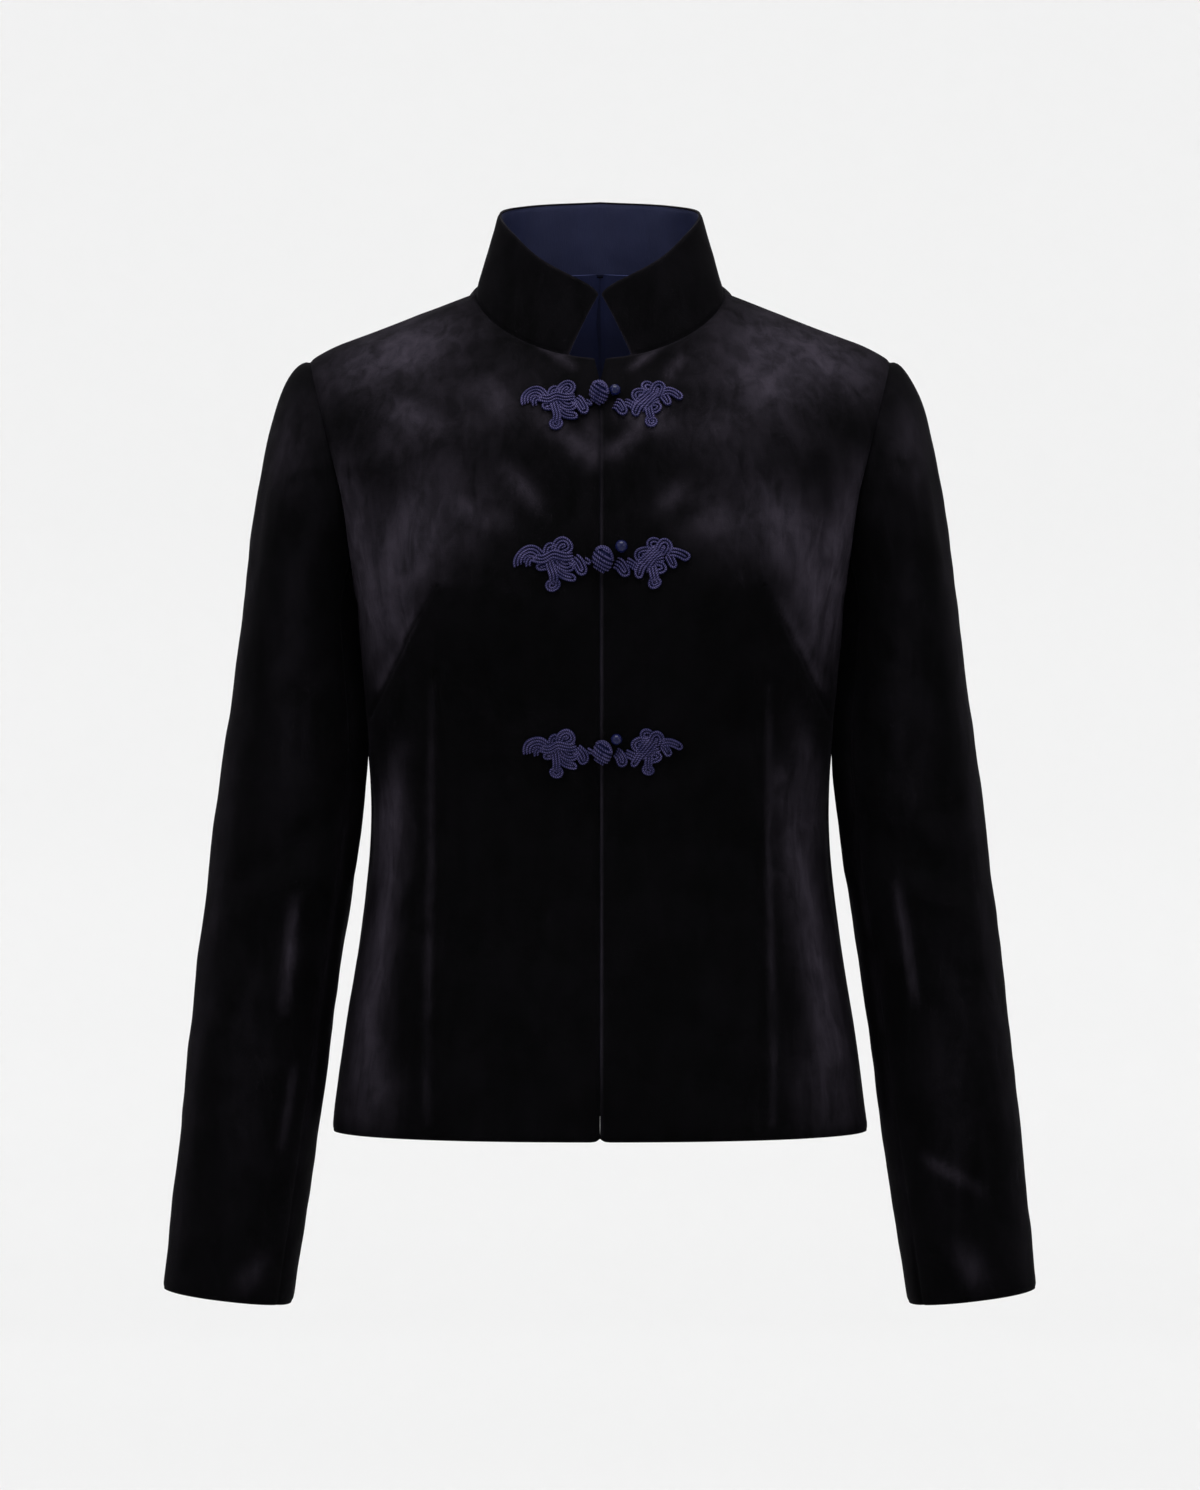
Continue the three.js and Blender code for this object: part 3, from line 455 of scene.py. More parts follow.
class JacketColours(bpy.types.PropertyGroup):
    """Colours that a user would change."""

    velvet: slot_colour("Velvet", "The pile seen end on", (0.0006, 0.0006, 0.0007))
    # The colour of the painted sheen on the velvet.
    painted_sheen: slot_colour("Bloom", "The pile where it lies over", (0.026, 0.0222, 0.0305))
    sheen: slot_colour("Sheen", "Light caught by the tips of the pile", (0.62, 0.55, 0.72))
    satin: slot_colour("Satin", "The lining", (0.0060, 0.0074, 0.0220))
    # The cord's painted highlight on its crown, and its dark navy with painted shade between the strands.
    ridge: slot_colour("Cord ridge", "The crown of a cord", (0.084, 0.072, 0.162))
    groove: slot_colour("Cord groove", "Between the strands of a cord", (0.0012, 0.0020, 0.019))
    bead: slot_colour("Bead", "The polished bead", (0.0035, 0.0045, 0.026))
    stage: slot_colour("Stage", "The floor and backdrop", (0.868, 0.868, 0.868))


# Small sums on arrays of points, whose last axis is x, y, z.


def mix(a, b, share):
    return a + (b - a) * share


def smooth(x, low, high):
    t = np.clip((x - low) / (high - low), 0, 1)
    return t * t * (3 - 2 * t)


def unit(v):
    return v / np.maximum(np.linalg.norm(v, axis=-1, keepdims=True), 1e-12)


def length(v):
    return np.linalg.norm(v, axis=-1, keepdims=True)


def point(x, y, z):
    return np.stack(np.broadcast_arrays(x, y, z), axis=-1).astype(float)


def hermite(start, leave, end, arrive, t):
    t2, t3 = t * t, t * t * t
    ends = (2 * t3 - 3 * t2 + 1) * start + (3 * t2 - 2 * t3) * end
    return ends + (t3 - 2 * t2 + t) * leave + (t3 - t2) * arrive


def read(rows, place, column, at):
    """A smooth curve through one column of a table, read at places along another column."""
    order = np.argsort(rows[place])
    xs, ys = rows[place][order], rows[column][order]
    before = np.maximum(np.arange(len(xs)) - 1, 0)
    after = np.minimum(np.arange(len(xs)) + 1, len(xs) - 1)
    slopes = (ys[after] - ys[before]) / (xs[after] - xs[before])
    i = np.clip(np.searchsorted(xs, at) - 1, 0, len(xs) - 2)
    span = xs[i + 1] - xs[i]
    t = np.clip((at - xs[i]) / span, 0, 1)
    return hermite(ys[i], slopes[i] * span, ys[i + 1], slopes[i + 1] * span, t)


# The body's form, as in the solids.


def armhole_edge(side, z):
    rise = np.clip((CHEST_Z - z) / (CHEST_Z - UNDERARM_Z), 0, 1)
    return np.where(z <= UNDERARM_Z, 0, ARMHOLE_REACH[side] * np.sqrt(1 - rise * rise))


def section_point(side, across, z):
    """One point of a body section. across runs from the centre line to the side seam or the armhole."""
    half = read(BODY_SECTIONS, "z", side + "_half", z)
    depth = read(BODY_SECTIONS, "z", side, z)
    power = read(BODY_SECTIONS, "z", "power", z)
    edge = armhole_edge(side, z) / depth
    share = np.sin(across * np.arcsin((1 - edge**power) ** (1 / power)))
    out = depth * np.maximum(0, 1 - np.abs(share) ** power) ** (1 / power)
    mound = MOUNDS[side]
    x = half * share
    away = np.hypot((x - mound["x"]) / mound["wide"], (z - mound["z"]) / mound["tall"])
    bump = mound["high"] * np.exp(-away * away) * (out / depth)
    forward = -1 if side == "front" else 1
    return point(x, SIDE_Y + forward * (out + bump), z)


def neck_point(turn):
    """The neckline's ring. turn is 0 at the centre front and 180 at the centre back."""
    along = np.cos(np.radians(turn))
    bow = along * along
    x = NECK["half"] * np.sin(np.radians(turn))
    y = NECK["middle_y"] - (along * (NECK["front"] + NECK["back"]) + bow * (NECK["front"] - NECK["back"])) / 2
    z = -(along * (NECK["drop"] + NECK["rise"]) + bow * (NECK["drop"] - NECK["rise"])) / 2
    return point(x, y, z)


def shoulder_point(share):
    x = mix(NECK["half"], SHOULDER["tip_x"], share)
    y = mix(NECK["middle_y"], SHOULDER["tip_y"], share)
    fall = SHOULDER["round"] * np.maximum(0, x - SHOULDER["round_from"]) ** 2
    return point(x, y, -SHOULDER["slope"] * (x - NECK["half"]) - fall)


def top_end(side, across):
    """Where a column of the body ends, and which way the cloth runs there."""
    centre, corner, tip = TOP_RUNS[side]
    neck_share = np.clip(across / NECK_SHARE, 0, 1)
    shoulder_share = np.clip((across - NECK_SHARE) / (1 - NECK_SHARE), 0, 1)
    turn = 90 * neck_share if side == "front" else 180 - 90 * neck_share
    at_neck = (across <= NECK_SHARE)[..., None]
    end = np.where(at_neck, neck_point(turn), shoulder_point(shoulder_share))
    run = np.where(
        at_neck,
        unit(mix(centre, corner, neck_share[..., None])),
        unit(mix(corner, tip, shoulder_share[..., None])),
    )
    return end, run


def body_point(side, across, up):
    """A point on the wearer's left. up runs 0 hem, 1 underarm, 2 chest line, 3 top edge."""
    low = section_point(side, across, mix(HEM_Z, UNDERARM_Z, np.clip(up, 0, 1)))
    swing = np.cos(np.radians(90 * np.clip(up - 1, 0, 1)))
    middle = section_point(side, across, CHEST_Z - (CHEST_Z - UNDERARM_Z) * swing)
    start = section_point(side, across, CHEST_Z + 0 * up)
    below = section_point(side, across, CHEST_Z - 0.5 + 0 * up)
    end, run = top_end(side, across)
    span = length(start - end)
    leave = unit(start - below) * span
    top = hermite(start, leave, end, run * TOP_EASE * span, np.clip(up - 2, 0, 1)[..., None])
    lower = np.where((up <= 1)[..., None], low, middle)
    return np.where((up <= 2)[..., None], lower, top)


def front_point(across, up):
    """A front panel, which opens into a notch at the neck and has a rounded lower corner."""
    at = body_point("front", across, up)
    rise = np.clip((at[..., 2] + NECK["drop"]) / NOTCH["depth"] + 1, 0, 1)
    opened = np.where(up > 2, NOTCH["open"] * rise, 0)
    corner = np.maximum(0, HEM_CORNER - at[..., 0]) * np.clip(1 - 30 * up, 0, 1)
    at[..., 0] += FRONT_GAP / 2 + opened * np.exp(-((at[..., 0] / NOTCH["spread"]) ** 2))
    at[..., 2] += corner * corner / (2 * HEM_CORNER)
    return at


def armhole_point(round_):
    front = body_point("front", np.ones_like(round_), 1 + 2 * np.clip(round_, 0, 1))
    back = body_point("back", np.ones_like(round_), 1 + 2 * np.clip(2 - round_, 0, 1))
    return np.where((round_ <= 1)[..., None], front, back)


def sleeve_section(round_, z):
    turn = np.radians(180 * (1 - round_))
    inner, outer, deep, y, tilt = (
        read(SLEEVE_SECTIONS, "z", column, z) for column in ("inner", "outer", "deep", "y", "tilt")
    )

    def rounded(value):
        return np.sign(value) * np.abs(value) ** (2 / SLEEVE_POWER)

    out = (outer - inner) / 2 * rounded(np.cos(turn))
    forward = deep * rounded(np.sin(turn))
    return point((inner + outer) / 2 + out, y - forward, z + out * np.sin(np.radians(tilt)))


def sleeve_point(round_, down):
    """round_ is 0 at the underarm, 1 at the shoulder and 2 at the underarm again; down is 0 to 2."""
    low = sleeve_section(round_, mix(BICEPS_Z, CUFF_Z, np.clip(down - 1, 0, 1)))
    start = armhole_point(round_)
    end = sleeve_section(round_, BICEPS_Z + 0 * down)
    below = sleeve_section(round_, BICEPS_Z - 1 + 0 * down)
    high = (1 - np.cos(np.pi * round_)) / 2
    out = mix(CAP["low_out"], CAP["high_out"], high)
    leave = point(out, -CAP["forward"] * np.sin(np.pi * round_), -CAP["down"])
    reach = mix(length(start - end)[..., 0], CAP["end"], high * high)
    arrive = unit(below - end) * reach[..., None]
    cap = hermite(start, leave, end, arrive, np.clip(down, 0, 1)[..., None])
    return np.where((down >= 1)[..., None], low, cap)


def collar_point(around, up):
    """around is degrees from the centre back, below 0 on the wearer's right. up runs from 0 to 1."""
    last = 180 - COLLAR_LAST
    end_x = mix(COLLAR_END["base_x"], COLLAR_END["top_x"], up)
    end_turn = np.degrees(np.arcsin(end_x / mix(NECK["half"], COLLAR_TOP_HALF, up)))
    share = np.clip((np.abs(around) - last) / COLLAR_LAST, 0, 1)
    turn = np.where(np.abs(around) < last, 180 - np.abs(around), mix(COLLAR_LAST, end_turn, share))
    corner = np.clip((share - 1 + COLLAR_END["round"]) / COLLAR_END["round"], 0, 1)
    height = up * (1 - COLLAR_END["drop"] * (1 - np.sqrt(1 - corner * corner)))
    base = neck_point(turn)
    y, z = read(COLLAR_TOP, "turn", "y", turn), read(COLLAR_TOP, "turn", "z", turn)
    top = point(COLLAR_TOP_HALF * np.sin(np.radians(turn)), y, z)
    at = mix(base, top, height[..., None])
    at[..., 0] *= np.where(around < 0, -1, 1)
    return at


# Folds, darts and seams, as heights that lift the cloth along its normal.


def fold_height(folds, side, x, z):
    """How far a table's folds lift the cloth at points x, z of one side, less towards a fold's ends."""
    lift = np.zeros_like(x)
    for fold in folds:
        if fold["side"] in (0, side):
            dx, dz = fold["x1"] - fold["x0"], fold["z1"] - fold["z0"]
            along = ((x - fold["x0"]) * dx + (z - fold["z0"]) * dz) / (dx * dx + dz * dz)
            held = np.clip(along, 0, 1)
            away = np.hypot(x - fold["x0"] - held * dx, z - fold["z0"] - held * dz) / fold["wide"]
            lift += fold["high"] * np.exp(-away * away) * np.minimum(1, 0.35 + 2.6 * held * (1 - held))
    return lift


def dart_away(dart, x, z):
    """How far points x, z are from a dart's line."""
    t = np.linspace(0, 1, 40)
    px = mix(mix(dart["x0"], dart["x1"], t), mix(dart["x1"], dart["x2"], t), t)
    pz = mix(mix(dart["z0"], dart["z1"], t), mix(dart["z1"], dart["z2"], t), t)
    away = np.full_like(x, 1e9)
    for i in range(len(t) - 1):
        dx, dz = px[i + 1] - px[i], pz[i + 1] - pz[i]
        held = np.clip(((x - px[i]) * dx + (z - pz[i]) * dz) / (dx * dx + dz * dz), 0, 1)
        away = np.minimum(away, np.hypot(x - px[i] - held * dx, z - pz[i] - held * dz))
    return away


def dart_height(darts, x, z):
    """Stitched darts: a fine trough between two soft swells."""
    lift = np.zeros_like(x)
    for dart in darts:
        away = dart_away(dart, x, z)
        trough = -np.exp(-((away / DART["wide"]) ** 2))
        swell = DART["swell_share"] * np.exp(-((away / DART["swell"]) ** 2))
        lift += dart["deep"] * (trough + swell)
    return lift


def dart_shade(darts, x, z):
    """0 on a dart's stitches, where painted shade in the dart's trough takes off the painted sheen, and 1
    away from them.
    """
    shade = np.ones_like(x)
    for dart in darts:
        shade *= 1 - DART["dark"] * np.exp(-((dart_away(dart, x, z) / DART["dark_wide"]) ** 2))
    return shade


def edge_distances(at):
    """How far each point of a grid lies from the first and last row and column, along the grid."""
    rows, columns = at.shape[:2]
    down = length(np.diff(at, axis=0))[..., 0].cumsum(axis=0)
    down = np.concatenate([np.zeros((1, columns)), down])
    over = length(np.diff(at, axis=1))[..., 0].cumsum(axis=1)
    over = np.concatenate([np.zeros((rows, 1)), over], axis=1)
    return {"bottom": down, "top": down[-1] - down, "start": over, "end": over[:, -1:] - over}


def normals_of(at):
    """Unit normals of a grid, out of the side from which its columns run right and its rows up."""
    over = np.gradient(at, axis=1)
    down = np.gradient(at, axis=0)
    return unit(np.cross(over, down))


def painted_sheen_at(sheen_rows, side, x, z):
    """How much painted sheen lies at points x, z of one side, from 0 to about 1."""
    return np.clip(fold_height(sheen_rows, side, x, z), 0, 1.1)


def drape_noise(at, amount, scale, seed):
    """A slow uneven swell, as heavy pile cloth has."""
    flat = at.reshape(-1, 3)
    offset = Vector((seed, 2.7 * seed, -seed))
    slow = [noise.noise(Vector(p) * scale + offset) for p in flat]
    fine = [noise.noise(Vector(p) * 2.3 * scale - offset) for p in flat]
    return amount * (np.array(slow) + 0.5 * np.array(fine)).reshape(at.shape[:2])


def spread(low, high, gap_share, fine_low=True, fine_high=True):
    """Values from low to high, even in the middle and closer at an edge that has a seam."""
    count = max(4, round(1 / gap_share))
    middle = list(np.linspace(low, high, count + 1))
    step = (high - low) / count
    start = [low + step * c for c in CLOSE_ROWS] if fine_low else []
    end = [high - step * c for c in reversed(CLOSE_ROWS)] if fine_high else []
    return np.array([middle[0], *start, *middle[1:-1], *end, middle[-1]])


# Making and finishing pieces.


def deselect():
    if bpy.context.object and bpy.context.object.mode != "OBJECT":
        bpy.ops.object.mode_set(mode="OBJECT")
    bpy.ops.object.select_all(action="DESELECT")


def activate(obj):
    deselect()
    obj.select_set(True)
    bpy.context.view_layer.objects.active = obj
    return obj


def settle(obj, node):
    """Puts a finished piece on the jacket's body, in place of its solid."""
    activate(obj)
    bpy.ops.object.transform_apply(location=True, rotation=True, scale=True)
    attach(obj, BODY)
    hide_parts(node)


def grid_piece(name, at, nap=None):
    """A sheet whose points are those of a grid, in millimetres, facing the side its rows and columns turn to.

    The piece's painted sheen or painted light, on the same grid, is kept as its attribute.
    """
    rows, columns = at.shape[:2]
    deselect()
    bpy.ops.mesh.primitive_grid_add(
        x_subdivisions=columns - 1, y_subdivisions=rows - 1, size=1, calc_uvs=True
    )
    obj = bpy.context.object
    obj.name = name
    obj.data.vertices.foreach_set("co", (at * MM).reshape(-1))
    if nap is not None:
        obj.data.attributes.new("nap", "FLOAT", "POINT").data.foreach_set("value", nap.reshape(-1))
    obj.data.update()
    return obj


def thicken(obj, thickness, inner):
    """Gives a sheet its thickness, inwards. inner says which of its finishes is on the inner face."""
    activate(obj)
    bpy.ops.object.modifier_add(type="SOLIDIFY")
    wall = obj.modifiers[-1]
    wall.thickness, wall.offset, wall.use_even_offset = thickness, -1, False
    wall.use_rim, wall.material_offset, wall.material_offset_rim = True, inner, 0
    bpy.ops.object.modifier_apply(modifier=wall.name)
    activate(obj)
    bpy.ops.object.shade_smooth_by_angle(angle=CLOTH_EDGE)


def cut_size(at):
    """The flat size of a grid of cloth: its greatest width and length, and its area, in metres."""
    over = length(np.diff(at, axis=1))[..., 0]
    down = length(np.diff(at, axis=0))[..., 0]
    a, b = at[1:, 1:] - at[:-1, :-1], at[1:, :-1] - at[:-1, 1:]
    area = np.linalg.norm(np.cross(a, b), axis=-1).sum() / 2
    return over.sum(axis=1).max() * MM, down.sum(axis=0).max() * MM, area * MM * MM


def line_inside(obj, is_velvet):
    """Turned-up velvet shows on the inner faces for which is_velvet says so."""
    for face in obj.data.polygons:
        if face.material_index == 1 and is_velvet(face.center):
            face.material_index = 0


def cloth_piece(name, at, nap, finishes, wall, node, cut, is_velvet=None):
    obj = grid_piece(name, at, nap)
    dress(obj, *finishes)
    thicken(obj, wall, len(finishes) - 1)
    if is_velvet:
        line_inside(obj, is_velvet)
    settle(obj, node)
    wide, long, area = cut_size(cut)


# Shaders.


class Value:
    """A number on a surface. Python's operators add the Math nodes that work it out."""

    def __init__(self, paint, socket):
        self.paint = paint
        self.socket = socket

    def maths(self, operation, first, second=0.0):
        return self.paint.node("ShaderNodeMath", {"operation": operation}, {0: first, 1: second})

    def __add__(self, other):
        return self.maths("ADD", self, other)

    def __sub__(self, other):
        return self.maths("SUBTRACT", self, other)

    def __rsub__(self, other):
        return self.maths("SUBTRACT", other, self)

    def __mul__(self, other):
        return self.maths("MULTIPLY", self, other)

    __radd__ = __add__
    __rmul__ = __mul__

    def wave(self):
        """1 where the number is a whole one, 0 half way between, and a smooth wave between them."""
        return self.maths("COSINE", self * (2 * math.pi)) * 0.5 + 0.5

    def step(self, low, high):
        """0 below low, 1 above high, and a soft step between."""
        settings = {"interpolation_type": "SMOOTHSTEP"}
        sockets = {"Value": self, "From Min": low, "From Max": high}
        return self.paint.node("ShaderNodeMapRange", settings, sockets)


class Paint:
    """A material and the nodes that are added to it."""

    def __init__(self, name):
        self.material = bpy.data.materials.new(name)
        self.material.use_nodes = True
        self.nodes = self.material.node_tree.nodes
        self.links = self.material.node_tree.links
        self.shader = self.nodes["Principled BSDF"]

    def give(self, socket, value):
        """Links a value to a socket, or sets the socket to a number or colour."""
        if isinstance(value, Value):
            self.links.new(value.socket, socket)
        elif socket.type == "RGBA":
            socket.default_value = (*tuple(value)[:3], 1)
        else:
            socket.default_value = value

    def node(self, kind, settings, sockets, out=0):
        """Adds a node, sets it, feeds its sockets by place or name, and returns one output."""
        made = self.nodes.new(kind)
        for name, value in settings.items():
            setattr(made, name, value)
        for key, value in sockets.items():
            self.give(made.inputs[key], value)
        return Value(self, made.outputs[out])

    def place(self, *scale):
        """The piece's own coordinates in metres, stretched by scale."""
        at = self.node("ShaderNodeTexCoord", {}, {}, "Object")
        return self.node("ShaderNodeMapping", {}, {"Vector": at, "Scale": scale})

    def uv(self, axis):
        at = self.node("ShaderNodeTexCoord", {}, {}, "UV")
        return self.node("ShaderNodeSeparateXYZ", {}, {0: at}, axis)

    def attribute(self, name):
        settings = {"attribute_name": name, "attribute_type": "GEOMETRY"}
        return self.node("ShaderNodeAttribute", settings, {}, "Fac")

    def noise(self, at, scale, detail=2.0, roughness=0.5, distortion=0.0):
        sockets = {"Vector": at, "Scale": scale, "Detail": detail, "Roughness": roughness}
        return self.node("ShaderNodeTexNoise", {}, {**sockets, "Distortion": distortion}, "Fac")

    def blend(self, share, low, high):
        """A colour between two others."""
        return self.node("ShaderNodeMix", {"data_type": "RGBA"}, {0: share, 6: low, 7: high}, 2)

    def bump(self, height, strength, distance):
        sockets = {"Strength": strength, "Distance": distance, "Height": height}
        self.give(self.shader.inputs["Normal"], self.node("ShaderNodeBump", {}, sockets))

    def finish(self, **sockets):
        """Sets the shader's sockets. A name's underscores stand for spaces."""
        for name, value in sockets.items():
            self.give(self.shader.inputs[name.replace("_", " ")], value)
        return self.material


def velvet_material(colours):
    """Black silk velvet, near black, with a painted violet-grey sheen where its painted light attribute is
    high.
    """
    paint = Paint("black_velvet")
    at = paint.place(1, 1, 1)
    nap = paint.attribute("nap")
    clouds = paint.noise(at, 30, 4, 0.58, 0.5).step(0.3, 0.72)
    brushed = paint.noise(paint.place(1, 1, 0.28), 95, 4, 0.62, 0.6).step(0.3, 0.75)
    pile = paint.noise(at, 1500, 2, 0.7)
    rows = paint.noise(paint.place(0.12, 0.12, 1), 1100, 1, 0.5)
    # Painted sheen, from the attribute's painted highlights, broken up by noise.
    painted_sheen = nap * (clouds * 0.34 + brushed * 0.5 + 0.22) * (pile * 0.5 + 0.75)
    haze = (clouds * 0.022 + brushed * 0.018) * (pile + 0.5)
    paint.bump(pile * 0.6 + rows * 0.4 + brushed * 0.5, 0.4, 0.0004)
    return paint.finish(
        Base_Color=paint.blend(painted_sheen + haze, colours.velvet, colours.painted_sheen),
        Roughness=0.9 - painted_sheen * 0.2,
        Specular_IOR_Level=0.015,
        Sheen_Weight=0.011,
        Sheen_Roughness=0.35,
        Sheen_Tint=tuple(colours.sheen),
    )


def satin_material(colours):
    """Navy lining satin, with its fine weave and soft long slubs, and painted light where its painted light
    attribute is high.
    """
    paint = Paint("navy_satin")
    warp = paint.noise(paint.place(1, 1, 0.05), 1400, 1, 0.5)
    slubs = paint.noise(paint.place(1, 1, 0.12), 130, 3, 0.6)
    clouds = paint.noise(paint.place(1, 1, 1), 26, 2, 0.5)
    # The lighter satin that its clouds and slubs show, and the painted light near the neck.
    light = tuple(4.0 * c for c in colours.satin)
    paint.bump(warp + slubs * 0.8, 0.35, 0.0003)
    return paint.finish(
        Base_Color=paint.blend(clouds * 0.16 + slubs * 0.14 + paint.attribute("nap"), colours.satin, light),
        Roughness=0.5 + warp * 0.16,
        Specular_IOR_Level=0.12,
        Sheen_Weight=0.03,
        Sheen_Roughness=0.3,
        Sheen_Tint=(0.6, 0.62, 0.95),
    )


def braid_material(colours):
    """Rayon cord: dark navy, with a painted lavender highlight on its crown and twisted strands and painted
    shade between them.
    """
    paint = Paint("twisted_cord")
    along, round_ = paint.uv("X"), paint.uv("Y")
    # The crown is the side turned away from the cloth, where a painted highlight lies; between the strands
    # lies painted shade.
    crown = round_.wave()
    strand = ((round_ - along) * float(CORD_TWIST["lobes"])).wave()
    fibre = paint.noise(paint.place(1, 1, 1), 2600, 2, 0.6)
    worn = paint.noise(paint.place(1, 1, 1), 160, 2, 0.5)
    lit = (strand * 0.35 + crown * 0.8) * (fibre * 0.3 + 0.6) * (worn * 0.3 + 0.85)
    paint.bump(fibre, 0.3, 0.0002)
    return paint.finish(
        Base_Color=paint.blend(lit.step(0.64, 0.96), colours.groove, colours.ridge),
        Roughness=0.55 + fibre * 0.15,
        Specular_IOR_Level=0.07,
        Sheen_Weight=0.012,
        Sheen_Roughness=0.4,
        Sheen_Tint=(0.75, 0.7, 1.0),
    )


def bead_material(colours):
    """A polished dark navy bead, slightly cloudy inside."""
    paint = Paint("polished_bead")
    clouds = paint.noise(paint.place(1, 1, 1), 420, 3, 0.6, 1.5)
    light = tuple(1.4 * c for c in colours.bead)
    return paint.finish(
        Base_Color=paint.blend(clouds.step(0.4, 0.75), colours.bead, light),
        Roughness=0.08 + clouds * 0.1,
        Specular_IOR_Level=0.15,
    )


def stage_material(colours):
    """Plain pale paper, with painted shade a little deeper in the middle of the floor, under the lamps, to
    even out their stronger light there.
    """
    paint = Paint("pale_paper")
    away = paint.node("ShaderNodeVectorMath", {"operation": "LENGTH"}, {0: paint.place(1, 1, 0)}, "Value")
    share = away.step(2.9, 5.4) + paint.noise(paint.place(1, 1, 1), 60, 2, 0.5) * 0.04
    # Painted shade in the middle of the floor.
    middle = tuple(0.806 * c for c in colours.stage)
    colour = paint.blend(share, middle, colours.stage)
    return paint.finish(Base_Color=colour, Roughness=0.9, Specular_IOR_Level=0.1)


MATERIALS = {
    "black_velvet": velvet_material,
    "navy_satin": satin_material,
    "twisted_cord": braid_material,
    "polished_bead": bead_material,
    "pale_paper": stage_material,
}


def material(name):
    """The named material, made the first time that it is asked for."""
    found = bpy.data.materials.get(name)
    return found or MATERIALS[name](bpy.context.scene.jacket_colours)


def dress(obj, *names):
    """Gives a piece its materials, in order."""
    obj.data.materials.clear()
    for name in names:
        obj.data.materials.append(material(name))


# The cloth panels.


def on_side(side, at, nap):
    """A grid and its painted light on one side of the jacket, facing out as before."""
    return (at, nap) if side > 0 else (at[:, ::-1] * MIRROR, nap[:, ::-1])


def seam_roll(at, edges, depth, wide=2.2):
    """Draws the cloth in where it is sewn, and rounds it over where it is folded."""
    away = edge_distances(at)
    lift = np.zeros(at.shape[:2])
    for edge in edges:
        lift -= depth * np.exp(-((away[edge] / wide) ** 2))
    return lift


def seam_fade(at, edges, wide=14):
    """0 on a sewn edge and 1 away from it, so that folds end where pieces meet."""
    away = edge_distances(at)
    fade = np.ones(at.shape[:2])
    for edge in edges:
        fade *= smooth(away[edge], 0, wide)
    return fade


def edge_share(at, edges):
    """1 along the edges of a grid, where the pile is painted lighter, and 0 away from them."""
    away = edge_distances(at)
    return sum(np.exp(-((away[edge] / EDGE_LIGHTER["wide"]) ** 2)) for edge in edges)


def tucked(at, normals, run, deep):
    """Adds a seam allowance before a grid's first row, run on by run and turned in by deep."""
    turned = at[0] + unit(at[0] - at[1]) * run - normals[0] * deep
    return np.concatenate([turned[None], at])


def body_grid(spacing):
    """Shares across and up the body, closer at its sewn edges."""
    across = spacing / BODY_SPANS["across"]
    low = spread(0, NECK_SHARE, across / NECK_SHARE, True, False)
    high = spread(NECK_SHARE, 1, across / (1 - NECK_SHARE), False, True)
    rows = [
        spread(0, 1, spacing / (UNDERARM_Z - HEM_Z), True, False),
        spread(1, 2, spacing / BODY_SPANS["armhole"], False, False)[1:],
        spread(2, 3, spacing / BODY_SPANS["top"], False, True)[1:],
    ]
    return np.concatenate([low, high[1:]]), np.concatenate(rows)


def panel(at, normals, swell, folds, darts, side, turned, seam_depth):
    """Lays folds, darts, seams and the cloth's own swell on a grid of the wearer's left."""
    x, z = at[..., 0], at[..., 2]
    sewn = ["top", "end"]
    lift = (fold_height(folds, side, x, z) + swell) * seam_fade(at, sewn)
    lift += dart_height(darts, x, z) * seam_fade(at, sewn, 3)
    lift += seam_roll(at, sewn + turned, seam_depth)
    return at + normals * lift[..., None]


def front_shade(x, z):
    """Painted shade: the painted sheen is kept off the front inside the darts, below the bust dart and low in
    its middle, but not at its edge.
    """
    dart = {row["name"]: row for row in FRONT_DARTS}
    bust, waist = dart["bust dart"], dart["waist dart"]
    along = np.clip((x - bust["x2"]) / (bust["x0"] - bust["x2"]), 0, 1)
    line = mix(bust["z2"], bust["z0"], along)
    above = smooth(z, line - 4, line + 3)
    outside = smooth(x, waist["x1"] - 3, waist["x1"] + 3) * smooth(-z, -line + 12, -line + 70)
    inner = smooth(-x, -90, -60) * smooth(-z, 150, 210)
    edge = smooth(-x, -4, -3)
    return np.maximum(np.maximum(above, outside) * (1 - inner), edge)


class JACKET_OT_fronts(bpy.types.Operator):
    """Adds the two fronts, with their bust and waist darts"""

    bl_idname = "jacket.add_fronts"
    bl_label = "Fronts"

    def execute(self, context):
        sizes = context.scene.jacket_sizes
        across, up = np.meshgrid(*body_grid(FRONT_FINER * sizes.grid / MM))
        flat = front_point(across, up)
        x, z = flat[..., 0], flat[..., 2]
        normals = normals_of(flat)
        # Painted sheen, kept off by painted shade at the darts, and painted lighter along the neckline.
        shade = front_shade(x, z) * dart_shade(FRONT_DARTS, x, z)
        lighter_edge = EDGE_LIGHTER["high"] * edge_share(flat, ["top"]) * smooth(-x, -70, -40)
        hem = HEM_Z * MM + sizes.turn_up
        for name, side in SIDES:
            swell = drape_noise(flat, seed=SEEDS["front"] + side, **BODY_SWELL)
            turned = ["start", "bottom"]
            at = panel(flat, normals, swell, FRONT_FOLDS, FRONT_DARTS, side, turned, sizes.seam_depth / MM)
            at, nap = on_side(side, at, painted_sheen_at(FRONT_PAINTED_SHEEN, side, x, z) * shade + lighter_edge)
            cloth_piece(
                f"velvet_front_{name}", at, nap, VELVET_LINED, sizes.cloth, f"front_{name}",
                flat,
                lambda c: c.z < hem or abs(c.x) < FACING["wide"] * MM and c.z < FACING["top"] * MM,
            )
        return {"FINISHED"}


